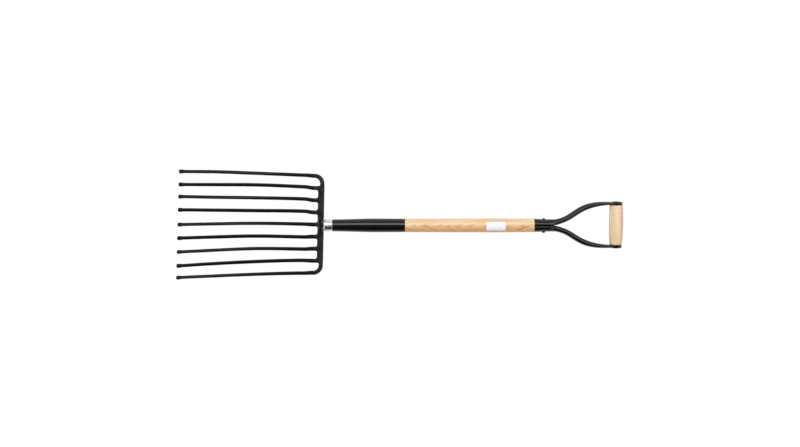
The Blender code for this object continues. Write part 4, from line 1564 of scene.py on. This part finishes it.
@dataclass
class Shaft:
    """The turned ash shaft, dipped in lacquer at the front, with its ferrule, pin and label."""

    shop: Workshop
    front_radius: float = 0.0158
    swell_radius: float = 0.0179
    waist_radius: float = 0.0177
    middle_radius: float = 0.0183
    rear_radius: float = 0.0178
    sight_length: float = 0.5232
    swell_place: float = 0.098
    waist_place: float = 0.178
    middle_place: float = 0.398
    dip_edge: float = 0.2138  # where the lacquer ends
    end_rounding: float = 0.0009
    nose_taper: float = 0.23  # how much narrower its nose is than its seat, as a share of the crown
    turning_steps: int = 112
    stretches: int = 150
    dent: float = 0.00008  # how uneven the wood and the ferrule are
    wood_dents: float = 0.012
    wood_drawn: float = 0.12  # size of the wood's dents across the grain against that along it
    ferrule_dents: float = 0.0075
    ferrule_length: float = 0.0252
    ferrule_wall: float = 0.0012
    ferrule_crown: float = 0.0235
    ferrule_proud: float = 0.0004
    ferrule_edge: float = 0.35  # share of its wall by which its rear edge is broken
    ferrule_steps: int = 16
    tang_radius: float = 0.0066
    tang_point: float = 0.0030
    tang_length: float = 0.145
    pin_radius: float = 0.0020
    pin_place: float = 0.0585
    pin_turn: float = math.radians(22)
    pin_proud: float = 0.0001
    pin_dome: float = 0.0004
    socket_inset: float = 0.0007
    socket_taper: float = 0.0010
    socket_length: float = 0.041
    seam_groove: float = 0.0040  # half the width of the tenon's groove under the handle's lips
    seam_depth: float = 0.0054  # of that groove, from the socket's outside
    sheet: float = 0.0018
    tenon_length: float = 0.0372
    label_start: float = 0.4236
    label_end: float = 0.4736
    label_angles: Pair = (math.radians(-42.5), math.radians(32.5))  # from straight up, towards +y
    label_corner: float = 0.0016
    label_thickness: float = 0.00014
    label_glue: float = 0.00002
    label_lift: float = 0.0005  # of its loose corner
    label_loose: Pair = (1.3, 2.0)  # how far out, of 2 at the corner itself, it begins to lift and is full
    label_crinkle: float = 0.00003
    label_crinkles: float = 0.004  # size of the crinkles
    label_grid: tuple[int, int] = (26, 44)

    @property
    def mouth(self) -> float:
        """Where the handle's socket begins."""
        return self.ferrule_length + FIT + self.sight_length

    def radius(self, x: float) -> float:
        """Find the shaft's radius in sight.

        Args:
            x: The place on the handle axis.

        Returns:
            The radius there.
        """
        stations = (
            (0.0, self.front_radius),
            (self.swell_place, self.swell_radius),
            (self.waist_place, self.waist_radius),
            (self.middle_place, self.middle_radius),
            (self.sight_length, self.rear_radius),
        )
        return through(stations, x - self.ferrule_length - FIT)

    def socket_radius(self, x: float) -> float:
        """Return the outer radius of the handle's socket round the tenon."""
        share = (x - self.mouth) / self.socket_length
        return self.rear_radius - self.socket_inset - self.socket_taper * ease(share)

    def crown_x(self, radius: float, wall: float) -> float:
        """Return where the ferrule's dome lies at a radius, behind a wall from its outside."""
        sphere = self.ferrule_crown - wall
        return self.ferrule_crown - math.sqrt(max(sphere**2 - radius**2, 0.0))

    def shaft_outline(self) -> Outline:
        """Draw the shaft with its tenon, its seat in the ferrule and the tang's bore.

        Returns:
            Its outline, from the tenon's end round the outside and back through the bore.
        """
        end = self.mouth + self.tenon_length
        tenon = self.socket_radius(end) - self.sheet - FIT
        tenon_root = self.socket_radius(self.mouth) - self.sheet - FIT
        shoulder, rear = self.ferrule_length + FIT, self.mouth - FIT
        edge = self.end_rounding
        outline = [(end, 0.0), (end, tenon - edge), (end - edge, tenon)]
        outline += [(self.mouth, tenon_root), (rear, tenon_root)]
        outline += rounded(rear, self.rear_radius, edge, 3)
        first, length = self.mouth - 0.002, self.sight_length - 0.003
        places = [first - length * i / self.stretches for i in range(self.stretches + 1)]
        outline += [(x, self.radius(x)) for x in sorted([*places, self.dip_edge], reverse=True)]
        seat = self.front_radius + self.ferrule_proud - self.ferrule_wall - FIT
        nose = seat - self.nose_taper * self.ferrule_crown
        nose_x = self.crown_x(nose, self.ferrule_wall) + 2.0 * FIT
        spike = self.tang_radius + FIT
        outline += [(shoulder, self.front_radius), (shoulder, seat)]
        outline += [(self.crown_x(seat, self.ferrule_wall) + FIT, seat), (nose_x, nose), (nose_x, spike)]
        outline.append((self.ferrule_length, spike))
        bore_end = self.tang_length + FIT
        return outline + [(bore_end, self.tang_point + FIT), (bore_end, 0.0)]

    def dented(self, point: Vector, place: Vector, size: float) -> Vector:
        """Return a point of a turned skin, moved in towards the handle axis as it is worn."""
        inward = -Vector((0.0, point.y, point.z)).normalized()
        return point + inward * self.dent * (1.0 + lumps(place, size))

    def add_shaft(self) -> None:
        """Add the shaft, a little uneven, and with a groove in its tenon under the handle's lips."""
        shape = Shape().lathe(self.shaft_outline(), along_x(), self.turning_steps)
        seat = self.front_radius + self.ferrule_proud - self.ferrule_wall - FIT
        front, rear = self.ferrule_length + FIT, self.mouth - 2.0 * self.end_rounding
        for vertex in shape.body.verts:
            x, y, z = vertex.co
            if front < x < rear and vertex.co.yz.length > seat:
                drawn = Vector((self.wood_drawn * x, y, z))
                vertex.co = self.dented(vertex.co, drawn, self.wood_dents)
            limit = self.socket_radius(x) - self.seam_depth
            if x > self.mouth and abs(y) < self.seam_groove and abs(z) > limit:
                vertex.co.z = math.copysign(limit, z)
        mesh = shape.mesh()
        # Index 1 is varnished ash. The front and the tenon inside the handle's socket take the lacquer; on
        # the tenon, which shows only through the seam between the handle's halves, that black is painted
        # shade.
        bare_end = self.mouth - FIT - 0.2 * self.end_rounding
        for face in mesh.polygons:
            face.material_index = int(self.dip_edge < face.center.x < bare_end)
        self.shop.add("turned_shaft", mesh, Dress.SHAFT_FRONT, "shaft_ash", "shaft", second=Dress.ASH)

    def add_ferrule(self) -> None:
        """Add the pressed cap: domed front with the tang's hole, rolled rear edge, and small dents."""
        outer = self.front_radius + self.ferrule_proud
        bore = outer - self.ferrule_wall
        hole = self.tang_radius + FIT
        shares = [i / self.ferrule_steps for i in range(self.ferrule_steps + 1)]
        edge = self.ferrule_edge * self.ferrule_wall
        rear, skirt = self.ferrule_length - edge, self.crown_x(outer, 0.0)
        outline = [(self.ferrule_length, outer - edge), (rear, outer)]
        outline += [(between(rear, skirt, i / 6), outer) for i in range(1, 6)]
        for first, last, wall in ((outer, hole, 0.0), (hole, bore, self.ferrule_wall)):
            radii = [between(first, last, share) for share in shares]
            outline += [(self.crown_x(radius, wall), radius) for radius in radii]
        outline.append((self.ferrule_length, bore))
        shape = Shape().lathe(outline, along_x(), self.turning_steps)
        for vertex in shape.body.verts:
            if vertex.co.yz.length > bore:
                vertex.co = self.dented(vertex.co, vertex.co, self.ferrule_dents)
        self.shop.add("plated_ferrule", shape.mesh(), Dress.ZINC, "ferrule_zinc", "ferrule")

    def add_pin(self) -> None:
        """Add the pin through tang and shaft, whose ends just show under the lacquer."""
        reach = self.radius(self.pin_place) + self.pin_proud
        outline = [(reach, 0.0), (reach - 0.3 * self.pin_dome, 0.6 * self.pin_radius)]
        outline.append((reach - self.pin_dome, self.pin_radius))
        outline += [(-along, radius) for along, radius in reversed(outline)]
        axis = Matrix.Translation((self.pin_place, 0.0, 0.0)) @ Matrix.Rotation(-self.pin_turn, 4, "X")
        mesh = Shape().lathe(outline, axis, 32).mesh()
        self.shop.add("lacquered_pin", mesh, Dress.SHAFT_FRONT, "pin_steel", "tang_pin")

    def add_label(self) -> None:
        """Add the blank label, wrapped round the shaft with one corner lifting."""
        rows, columns = self.label_grid
        half_height = 0.5 * (self.label_angles[1] - self.label_angles[0]) * self.middle_radius
        middle = 0.5 * (self.label_start + self.label_end)
        half_length = 0.5 * (self.label_end - self.label_start)
        loose, full = self.label_loose
        top, bottom = [], []
        for i in range(rows + 1):
            share = i / rows
            angle = between(*self.label_angles, share)
            way = Vector((0.0, math.sin(angle), math.cos(angle)))
            over = max(abs(2.0 * share - 1.0) * half_height - half_height + self.label_corner, 0.0)
            reach = half_length - self.label_corner + math.sqrt(self.label_corner**2 - over**2)
            upper, lower = [], []
            for j in range(columns + 1):
                u = 2.0 * j / columns - 1.0
                x = middle + reach * u
                lift = self.label_lift * ease((u + 2.0 * share - 1.0 - loose) / (full - loose))
                flat = Vector((x, angle * self.middle_radius, 0.0))
                crinkle = self.label_crinkle * (1.0 + lumps(flat, self.label_crinkles))
                base = self.radius(x) + self.label_glue + lift + crinkle
                upper.append(Vector((x, 0.0, 0.0)) + way * (base + self.label_thickness))
                lower.append(Vector((x, 0.0, 0.0)) + way * base)
            top.append(upper)
            bottom.append(lower)
        self.shop.add("blank_label", Shape().slab(top, bottom).mesh(50.0), Dress.LABEL, "shaft_ash")

    def build(self) -> None:
        """Add the shaft and what is fixed to its front and side."""
        self.add_shaft()
        self.add_ferrule()
        self.add_pin()
        self.add_label()


class Side(Enum):
    """The two pressed halves of the handle, by the side of the handle axis that they lie on."""

    LEFT = 1.0
    RIGHT = -1.0


@dataclass
class DHandle:
    """The pressed steel D handle with its wooden grip and its rivets."""

    shop: Workshop
    shaft: Shaft
    sheet: float = 0.0018
    seam: float = 0.0026
    seam_end: float = 0.0009  # the seam behind the shaft's end
    seam_narrowing: float = 0.006  # length over which the seam narrows there
    lip_curl: float = 0.0024  # radius at which the half sockets' lips are rolled in
    arm_start: float = 0.0372
    arm_start_half_gap: float = 0.0080
    curve_start: float = 0.0745
    curve_end: float = 0.1006
    arm_start_thickness: float = 0.0146
    arm_thickness: float = 0.0153
    arm_depth: float = 0.0205
    taper_share: float = 0.64
    taper_power: float = 1.9
    end_thickness: float = 0.0086
    end_depth: float = 0.0285
    morph_length: float = 0.036
    grip_place: float = 0.2135
    grip_off: float = 0.0013  # how far the grip's middle is from the handle axis, towards +y
    grip_length: float = 0.1021
    grip_left_radius: float = 0.0169
    grip_right_radius: float = 0.0158
    grip_middle_radius: float = 0.01836
    grip_power: float = 1.6  # how full the grip's barrel is
    grip_break: float = 0.0007  # of its two edges
    grip_break_share: float = 0.03
    grip_stretches: int = 40
    cup_radius: float = 0.0156
    cup_depth: float = 0.0088
    cup_edge: float = 0.0026
    cup_floor: float = 0.0018
    cup_rim: float = 0.3  # share of its floor's thickness by which its rim is broken
    half_crease: float = 38.0
    socket_rivet_place: float = 0.0254
    socket_rivet_radius: float = 0.0026
    small_head: Pair = (0.0040, 0.0022)
    large_head: Pair = (0.0047, 0.0031)
    grip_rivet_radius: float = 0.0030
    grip_head: Pair = (0.0090, 0.0010)
    line_points: int = 44
    lip_share: float = 0.8  # how much closer the points of the sheet's middle are near its lips
    socket_stations: int = 18
    arm_stations: int = 72

    @property
    def grip_x(self) -> float:
        """Where the grip's axis is."""
        return self.shaft.mouth + self.grip_place

    @property
    def cup_face(self) -> float:
        """How far the cups' outer faces are from the handle axis."""
        return 0.5 * self.grip_length + FIT + self.cup_depth

    @property
    def cup_bore(self) -> float:
        """The cups' inner radius."""
        return self.cup_radius - self.cup_floor

    def grip_axis(self, side: float = 1.0) -> Matrix:
        """Return the matrix that lays a turned shape along the grip, from its middle towards a side."""
        return Matrix.Translation((0.0, self.grip_off, 0.0)) @ along_y(self.grip_x, side)

    def arm_path(self, share: float, side: float) -> tuple[Vector, Vector]:
        """Follow the centre line of an arm, as it would be on the +y side.

        Args:
            share: The share of the way from the shaft's end to the cup.
            side: The side that the arm is on, 1 for +y.

        Returns:
            The place there and the line's direction.
        """
        start = Vector((self.shaft.mouth + self.arm_start, self.arm_start_half_gap, 0.0))
        end_y = self.cup_face + side * self.grip_off - 0.5 * self.end_thickness
        end = Vector((self.grip_x - self.cup_radius, end_y, 0.0))
        after, before = Vector((self.curve_start, 0.0, 0.0)), Vector((self.curve_end, 0.0, 0.0))
        handles = (start, start + after, end - before, end)
        rest = 1.0 - share
        weights = (rest**3, 3 * rest**2 * share, 3 * rest * share**2, share**3)
        point = sum((handle * weight for handle, weight in zip(handles, weights)), Vector())
        slopes = (3 * rest**2, 6 * rest * share, 3 * share**2)
        ways = [second - first for first, second in zip(handles, handles[1:])]
        direction = sum((weight * way for weight, way in zip(slopes, ways)), Vector())
        return point, direction.normalized()

    def middle_line(
        self, x: float, height: float, closing: float, thickness: float, depth: float
    ) -> list[Pair]:
        """Return the middle of the sheet across one half.

        Args:
            x: The place along the handle.
            height: The path's distance from the handle axis there.
            closing: 0 for a half socket, 1 for a closed arm.
            thickness: The arm's size in the handle's plane.
            depth: The arm's size square to it.

        Returns:
            (outward, z) pairs from the front lip round the outside to the back lip.
        """
        socket = self.shaft.socket_radius(x) - 0.5 * self.sheet
        a = 0.5 * (thickness - self.sheet)
        b = 0.5 * (depth - self.sheet)
        behind = x - self.shaft.mouth - self.shaft.tenon_length
        narrowed = ease((behind + 0.5 * self.seam_narrowing) / self.seam_narrowing)
        half_gap = 0.5 * (between(self.seam, self.seam_end, narrowed) + self.sheet)
        lip = math.asin(min(half_gap / b, 1.0))
        socket_lip = math.asin(half_gap / socket)
        line = []
        for i in range(self.line_points + 1):
            share = i / self.line_points
            share -= self.lip_share * math.sin(2.0 * math.pi * share) / (2.0 * math.pi)
            open_angle = between(socket_lip, math.pi - socket_lip, share)
            closed_angle = between(lip, 2.0 * math.pi - lip, share)
            off = socket * math.sin(open_angle)
            rolled = max(self.lip_curl - (off - half_gap), 0.0)
            drop = self.lip_curl - math.sqrt(max(self.lip_curl**2 - rolled**2, 0.0))
            z = socket * math.cos(open_angle)
            opened = (off - height, z - math.copysign(drop, z))
            closed = (-a * math.cos(closed_angle), b * math.sin(closed_angle))
            line.append(tuple(between(o, c, closing) for o, c in zip(opened, closed)))
        return line

    def sheet_outline(self, line: Sequence[Pair]) -> Outline:
        """Draw an even sheet with round lips.

        Args:
            line: The open line that the sheet's middle follows.

        Returns:
            The outline round the sheet.
        """
        half = 0.5 * self.sheet
        middles = [Vector(point) for point in line]
        normals = []
        for before, after in zip([line[0], *line], [*line[1:], line[-1]]):
            way = Vector((after[0] - before[0], after[1] - before[1])).normalized()
            normals.append(Vector((-way.y, way.x)))
        outer = [middle + normal * half for middle, normal in zip(middles, normals)]
        inner = [middle - normal * half for middle, normal in zip(middles, normals)]
        outline = outer + self.lip(middles[-1], normals[-1])
        outline += inner[::-1] + self.lip(middles[0], -normals[0])
        return [(point.x, point.y) for point in outline]

    def lip(self, middle: Vector, normal: Vector) -> Ring:
        """Round off an end of the sheet.

        Args:
            middle: The end of the sheet's middle.
            normal: Points to the side of the sheet that the lip starts from.

        Returns:
            The points round the lip.
        """
        way = Vector((normal.y, -normal.x))
        angles = [math.radians(degrees) for degrees in (36, 72, 108, 144)]
        return [middle + 0.5 * self.sheet * (normal * math.cos(a) + way * math.sin(a)) for a in angles]

    def half_rings(self, side: float) -> list[Ring]:
        """Draw one pressed half without its cup.

        Args:
            side: The side that it is on, 1 for +y.

        Returns:
            Its rings, from the socket's mouth into the cup.
        """
        rings = []
        arm_x = self.shaft.mouth + self.arm_start
        for i in range(self.socket_stations):
            x = between(self.shaft.mouth, arm_x, i / self.socket_stations)
            line = self.middle_line(x, 0.0, 0.0, self.arm_start_thickness, self.arm_depth)
            rings.append([Vector((x, side * out, z)) for out, z in self.sheet_outline(line)])
        for i in range(self.arm_stations + 1):
            share = i / self.arm_stations
            point, direction = self.arm_path(share, side)
            closing = ease((point.x - arm_x) / self.morph_length)
            ending = max((share - self.taper_share) / (1.0 - self.taper_share), 0.0)
            thickness = between(self.arm_start_thickness, self.arm_thickness, ease(share / self.taper_share))
            thickness += (self.end_thickness - self.arm_thickness) * ending**self.taper_power
            depth = between(self.arm_depth, self.end_depth, ease(ending))
            outwards = Vector((-direction.y, direction.x, 0.0))
            line = self.middle_line(point.x, point.y, closing, thickness, depth)
            ring = [point + outwards * out + Vector((0.0, 0.0, z)) for out, z in self.sheet_outline(line)]
            rings.append([Vector((place.x, side * place.y, place.z)) for place in ring])
        hollow = self.cup_radius - math.sqrt(self.cup_radius**2 - (0.5 * self.end_depth) ** 2)
        run_in = Vector((0.5 * (self.cup_radius - self.cup_bore) + hollow, 0.0, 0.0))
        return [*rings, [place + run_in for place in rings[-1]]]

    def cup_outline(self) -> Outline:
        """Draw a cup that opens towards the grip.

        Returns:
            Its outline, from the rivet's hole in its outer face round to the floor.
        """
        hole = self.grip_rivet_radius + FIT
        floor_y = self.cup_face - self.cup_floor
        rim_y = 0.5 * self.grip_length + FIT
        rim = self.cup_rim * self.cup_floor
        outline = [(self.cup_face, hole), *rounded(self.cup_face, self.cup_radius, self.cup_edge, 9)]
        outline += [(rim_y + rim, self.cup_radius), (rim_y, self.cup_radius - rim), (rim_y, self.cup_bore)]
        return outline + [(floor_y, self.cup_bore), (floor_y, hole)]

    def add_half(self, side: Side) -> None:
        """Add one pressed half: half socket, arm and cup in one sheet.

        Args:
            side: Which half it is.
        """
        axis = self.grip_axis(side.value)
        wall_middle = 0.5 * (self.cup_radius + self.cup_bore)
        near, far = self.cup_face - 2.0 * self.cup_depth, self.cup_face + self.cup_depth
        room = Shape().lathe([(far, 0.0), (far, wall_middle), (near, wall_middle), (near, 0.0)], axis, 96)
        cup = Shape().lathe(self.cup_outline(), axis, 96)
        mesh = combined(Shape().tube(self.half_rings(side.value)).mesh(), room.mesh(), "DIFFERENCE")
        mesh = shaded(combined(mesh, cup.mesh(), "UNION"), self.half_crease)
        name = side.name.lower()
        self.shop.add(f"pressed_half_{name}", mesh, Dress.HANDLE, "handle_steel", f"handle_half_{name}")

    @staticmethod
    def rivet_head(radius: float, seat: float, size: Pair) -> Outline:
        """Draw one domed head of a rivet.

        Args:
            radius: The rivet's radius.
            seat: Where the head sits.
            size: The head's radius and height.

        Returns:
            Its outline, from its top to the rivet's stem.
        """
        steps, rim = 9, 0.08
        width, height = size
        angles = [RIGHT_ANGLE * i / steps for i in range(steps)]
        dome = [(seat + height * math.cos(a), width * math.sin(a)) for a in angles]
        return dome + [(seat + rim * height, width), (seat, width), (seat, radius)]

    def add_rivet(
        self, node: str, axis: Matrix, radius: float, seat: float, heads: tuple[Pair, Pair]
    ) -> None:
        """Add a set rivet.

        Args:
            node: The frame's node that it is shown in place of.
            axis: Takes the z axis to the rivet's axis.
            radius: Its radius.
            seat: How far its heads' seats are from its middle.
            heads: The radius and height of its upper head and of its lower one.
        """
        upper, lower = (self.rivet_head(radius, seat, size) for size in heads)
        outline = upper + [(-along, width) for along, width in reversed(lower)]
        mesh = Shape().lathe(outline, axis, 48).mesh()
        self.shop.add(f"set_{node}", mesh, Dress.RIVET, "rivet_steel", node)

    def add_rivets(self) -> None:
        """Add the cross rivet of the socket and the rod through the grip."""
        place = self.shaft.mouth + self.socket_rivet_place
        seat = self.shaft.socket_radius(place) + FIT
        heads = (self.small_head, self.large_head)
        self.add_rivet("socket_rivet", along_y(place), self.socket_rivet_radius, seat, heads)
        heads = (self.grip_head, self.grip_head)
        self.add_rivet("grip_rivet", self.grip_axis(), self.grip_rivet_radius, self.cup_face + FIT, heads)

    def add_grip(self) -> None:
        """Add the turned grip, with a tenon in each cup and the rod's bore."""
        shoulder = 0.5 * self.grip_length
        end = self.cup_face - self.cup_floor - FIT
        tenon = self.cup_bore - FIT
        bore = self.grip_rivet_radius + FIT
        outline = [(end, bore), (end, tenon), (shoulder, tenon)]
        for step in range(self.grip_stretches, -self.grip_stretches - 1, -1):
            share = step / self.grip_stretches
            end_radius = self.grip_left_radius if share > 0.0 else self.grip_right_radius
            bulge = (self.grip_middle_radius - end_radius) * (1.0 - abs(share) ** self.grip_power)
            edge = self.grip_break * ease((abs(share) - 1.0 + self.grip_break_share) / self.grip_break_share)
            outline.append((shoulder * share, end_radius + bulge - edge))
        outline += [(-shoulder, tenon), (-end, tenon), (-end, bore)]
        mesh = Shape().lathe(outline, self.grip_axis(), 112).mesh()
        self.shop.add("turned_grip", mesh, Dress.BEECH, "grip_wood", "grip")

    def build(self) -> None:
        """Add the whole handle."""
        for side in Side:
            self.add_half(side)
        self.add_rivets()
        self.add_grip()


@dataclass
class Studio:
    """Pale floor, one long soft strip of light, a dim room and the camera of the picture."""

    lie: Matrix
    picture_width: int = 800
    pixel: float = 0.0026  # metres of the handle's plane to a pixel
    distance: float = 2.3
    sensor: float = 36.0
    nearest: float = 0.05  # how close to the camera things are still drawn
    roll: float = math.radians(4.5)  # the camera stands a little to the +y side
    aim: Triple = (0.2007, 0.00485, 0.0)
    floor_size: float = 60.0
    strip_angle: float = math.radians(27)  # from straight up, towards +y
    strip_distance: float = 2.0
    strip_shift: float = 0.4  # along the tool, towards its grip
    strip_size: Pair = (3.6, 0.80)
    strip_watts: float = 43.0
    wall_light: float = 0.65  # of the pale wall at +y
    wall_edge: Pair = (-0.45, 0.35)
    end_light: float = 1.05  # of the room's two ends, at -y
    end_edge: Pair = (0.28, 0.50)
    end_side: Pair = (0.40, -0.10)
    room_light: float = 0.05
    room_top: Pair = (0.88, 0.58)  # heights between which walls and ends fade into the ceiling
    ceiling_light: float = 0.15
    ceiling_edge: Pair = (0.85, 1.0)
    horizon: Pair = (0.12, 0.06)  # heights between which the room turns white

    def add_camera(self) -> None:
        """Add the camera, square to the handle's plane but for its small roll."""
        lens = bpy.data.cameras.new("camera")
        lens.sensor_width = self.sensor
        lens.lens = self.sensor * self.distance / (self.picture_width * self.pixel)
        lens.clip_start, lens.clip_end = self.nearest, 2.0 * self.floor_size
        camera = placed("camera", lens)
        tilt = Matrix.Rotation(-self.roll, 4, "X")
        back = Matrix.Translation((0.0, 0.0, self.distance))
        camera.matrix_world = self.lie @ Matrix.Translation(self.aim) @ tilt @ back
        bpy.context.scene.camera = camera

    def add_floor(self) -> None:
        """Add the floor just under the tool."""
        half = 0.5 * self.floor_size
        shape = Shape()
        corners = [(-half, -half), (half, -half), (half, half), (-half, half)]
        shape.body.faces.new([shape.body.verts.new((x, y, -FIT)) for x, y in corners])
        floor = placed("floor", shape.mesh())
        floor.data.materials.append(Dress.FLOOR.value.material())

    def add_strip(self) -> None:
        """Add the strip light, which runs along the tool."""
        light = bpy.data.lights.new("strip", "AREA")
        light.shape = "RECTANGLE"
        light.size, light.size_y = self.strip_size
        light.energy = self.strip_watts
        lean = Matrix.Rotation(-self.strip_angle, 4, "X")
        shift = Matrix.Translation((self.strip_shift, 0.0, self.strip_distance))
        placed("strip", light).matrix_world = lean @ shift

    def add_room(self) -> None:
        """Add the room: white at the horizon, dim overhead and dark at -y."""
        world = bpy.data.worlds.new("room")
        bpy.context.scene.world = world
        world.use_nodes = True
        graph = Graph(world.node_tree)
        x, y, z = graph.axes(graph.add("TexCoord").outputs["Generated"])
        walls = graph.times(graph.step(y, *self.wall_edge), self.wall_light)
        ends = graph.step(graph.math("ABSOLUTE", x), *self.end_edge)
        ends = graph.times(ends, graph.step(y, *self.end_side))
        sides = graph.added(walls, ends, self.end_light)
        bright = graph.math("MULTIPLY_ADD", graph.step(z, *self.room_top), sides, self.room_light)
        overhead = graph.times(graph.step(z, *self.ceiling_edge), self.ceiling_light)
        strength = graph.math("ADD", bright, overhead)
        strength = graph.math("MAXIMUM", strength, graph.step(z, *self.horizon))
        graph.feed(world.node_tree.nodes["Background"], {"Color": WHITE, "Strength": strength})

    def build(self) -> None:
        """Add floor, light, room and camera, and set how colours are shown."""
        self.add_floor()
        self.add_strip()
        self.add_room()
        self.add_camera()
        bpy.context.scene.view_settings.view_transform = "Standard"


def tool_lie(pin_place: float) -> Matrix:
    """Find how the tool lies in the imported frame, from two nodes that are even about the handle axis.

    Args:
        pin_place: The tang pin's place on the handle axis.

    Returns:
        The matrix from the tool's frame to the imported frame.
    """
    pin, grip = (sum(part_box(node), Vector()) / 2.0 for node in ("tang_pin", "grip"))
    run = grip - pin
    turn = Matrix.Rotation(math.atan2(-run.z, run.x), 4, "Y")
    start = pin - turn.to_3x3() @ Vector((pin_place, 0.0, 0.0))
    return Matrix.Translation(start) @ turn


def main() -> None:
    """Load the frame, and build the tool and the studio."""
    logging.basicConfig(level=logging.INFO, format="%(name)s: %(message)s")
    for thing in list(bpy.data.objects):
        bpy.data.objects.remove(thing)
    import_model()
    lie = tool_lie(Shaft.pin_place)
    shop = Workshop(lie)
    ForkHead(shop).build()
    shaft = Shaft(shop)
    shaft.build()
    DHandle(shop, shaft).build()
    Studio(lie).build()
    log.info("%d pieces", shop.pieces)


if __name__ == "__main__":
    main()
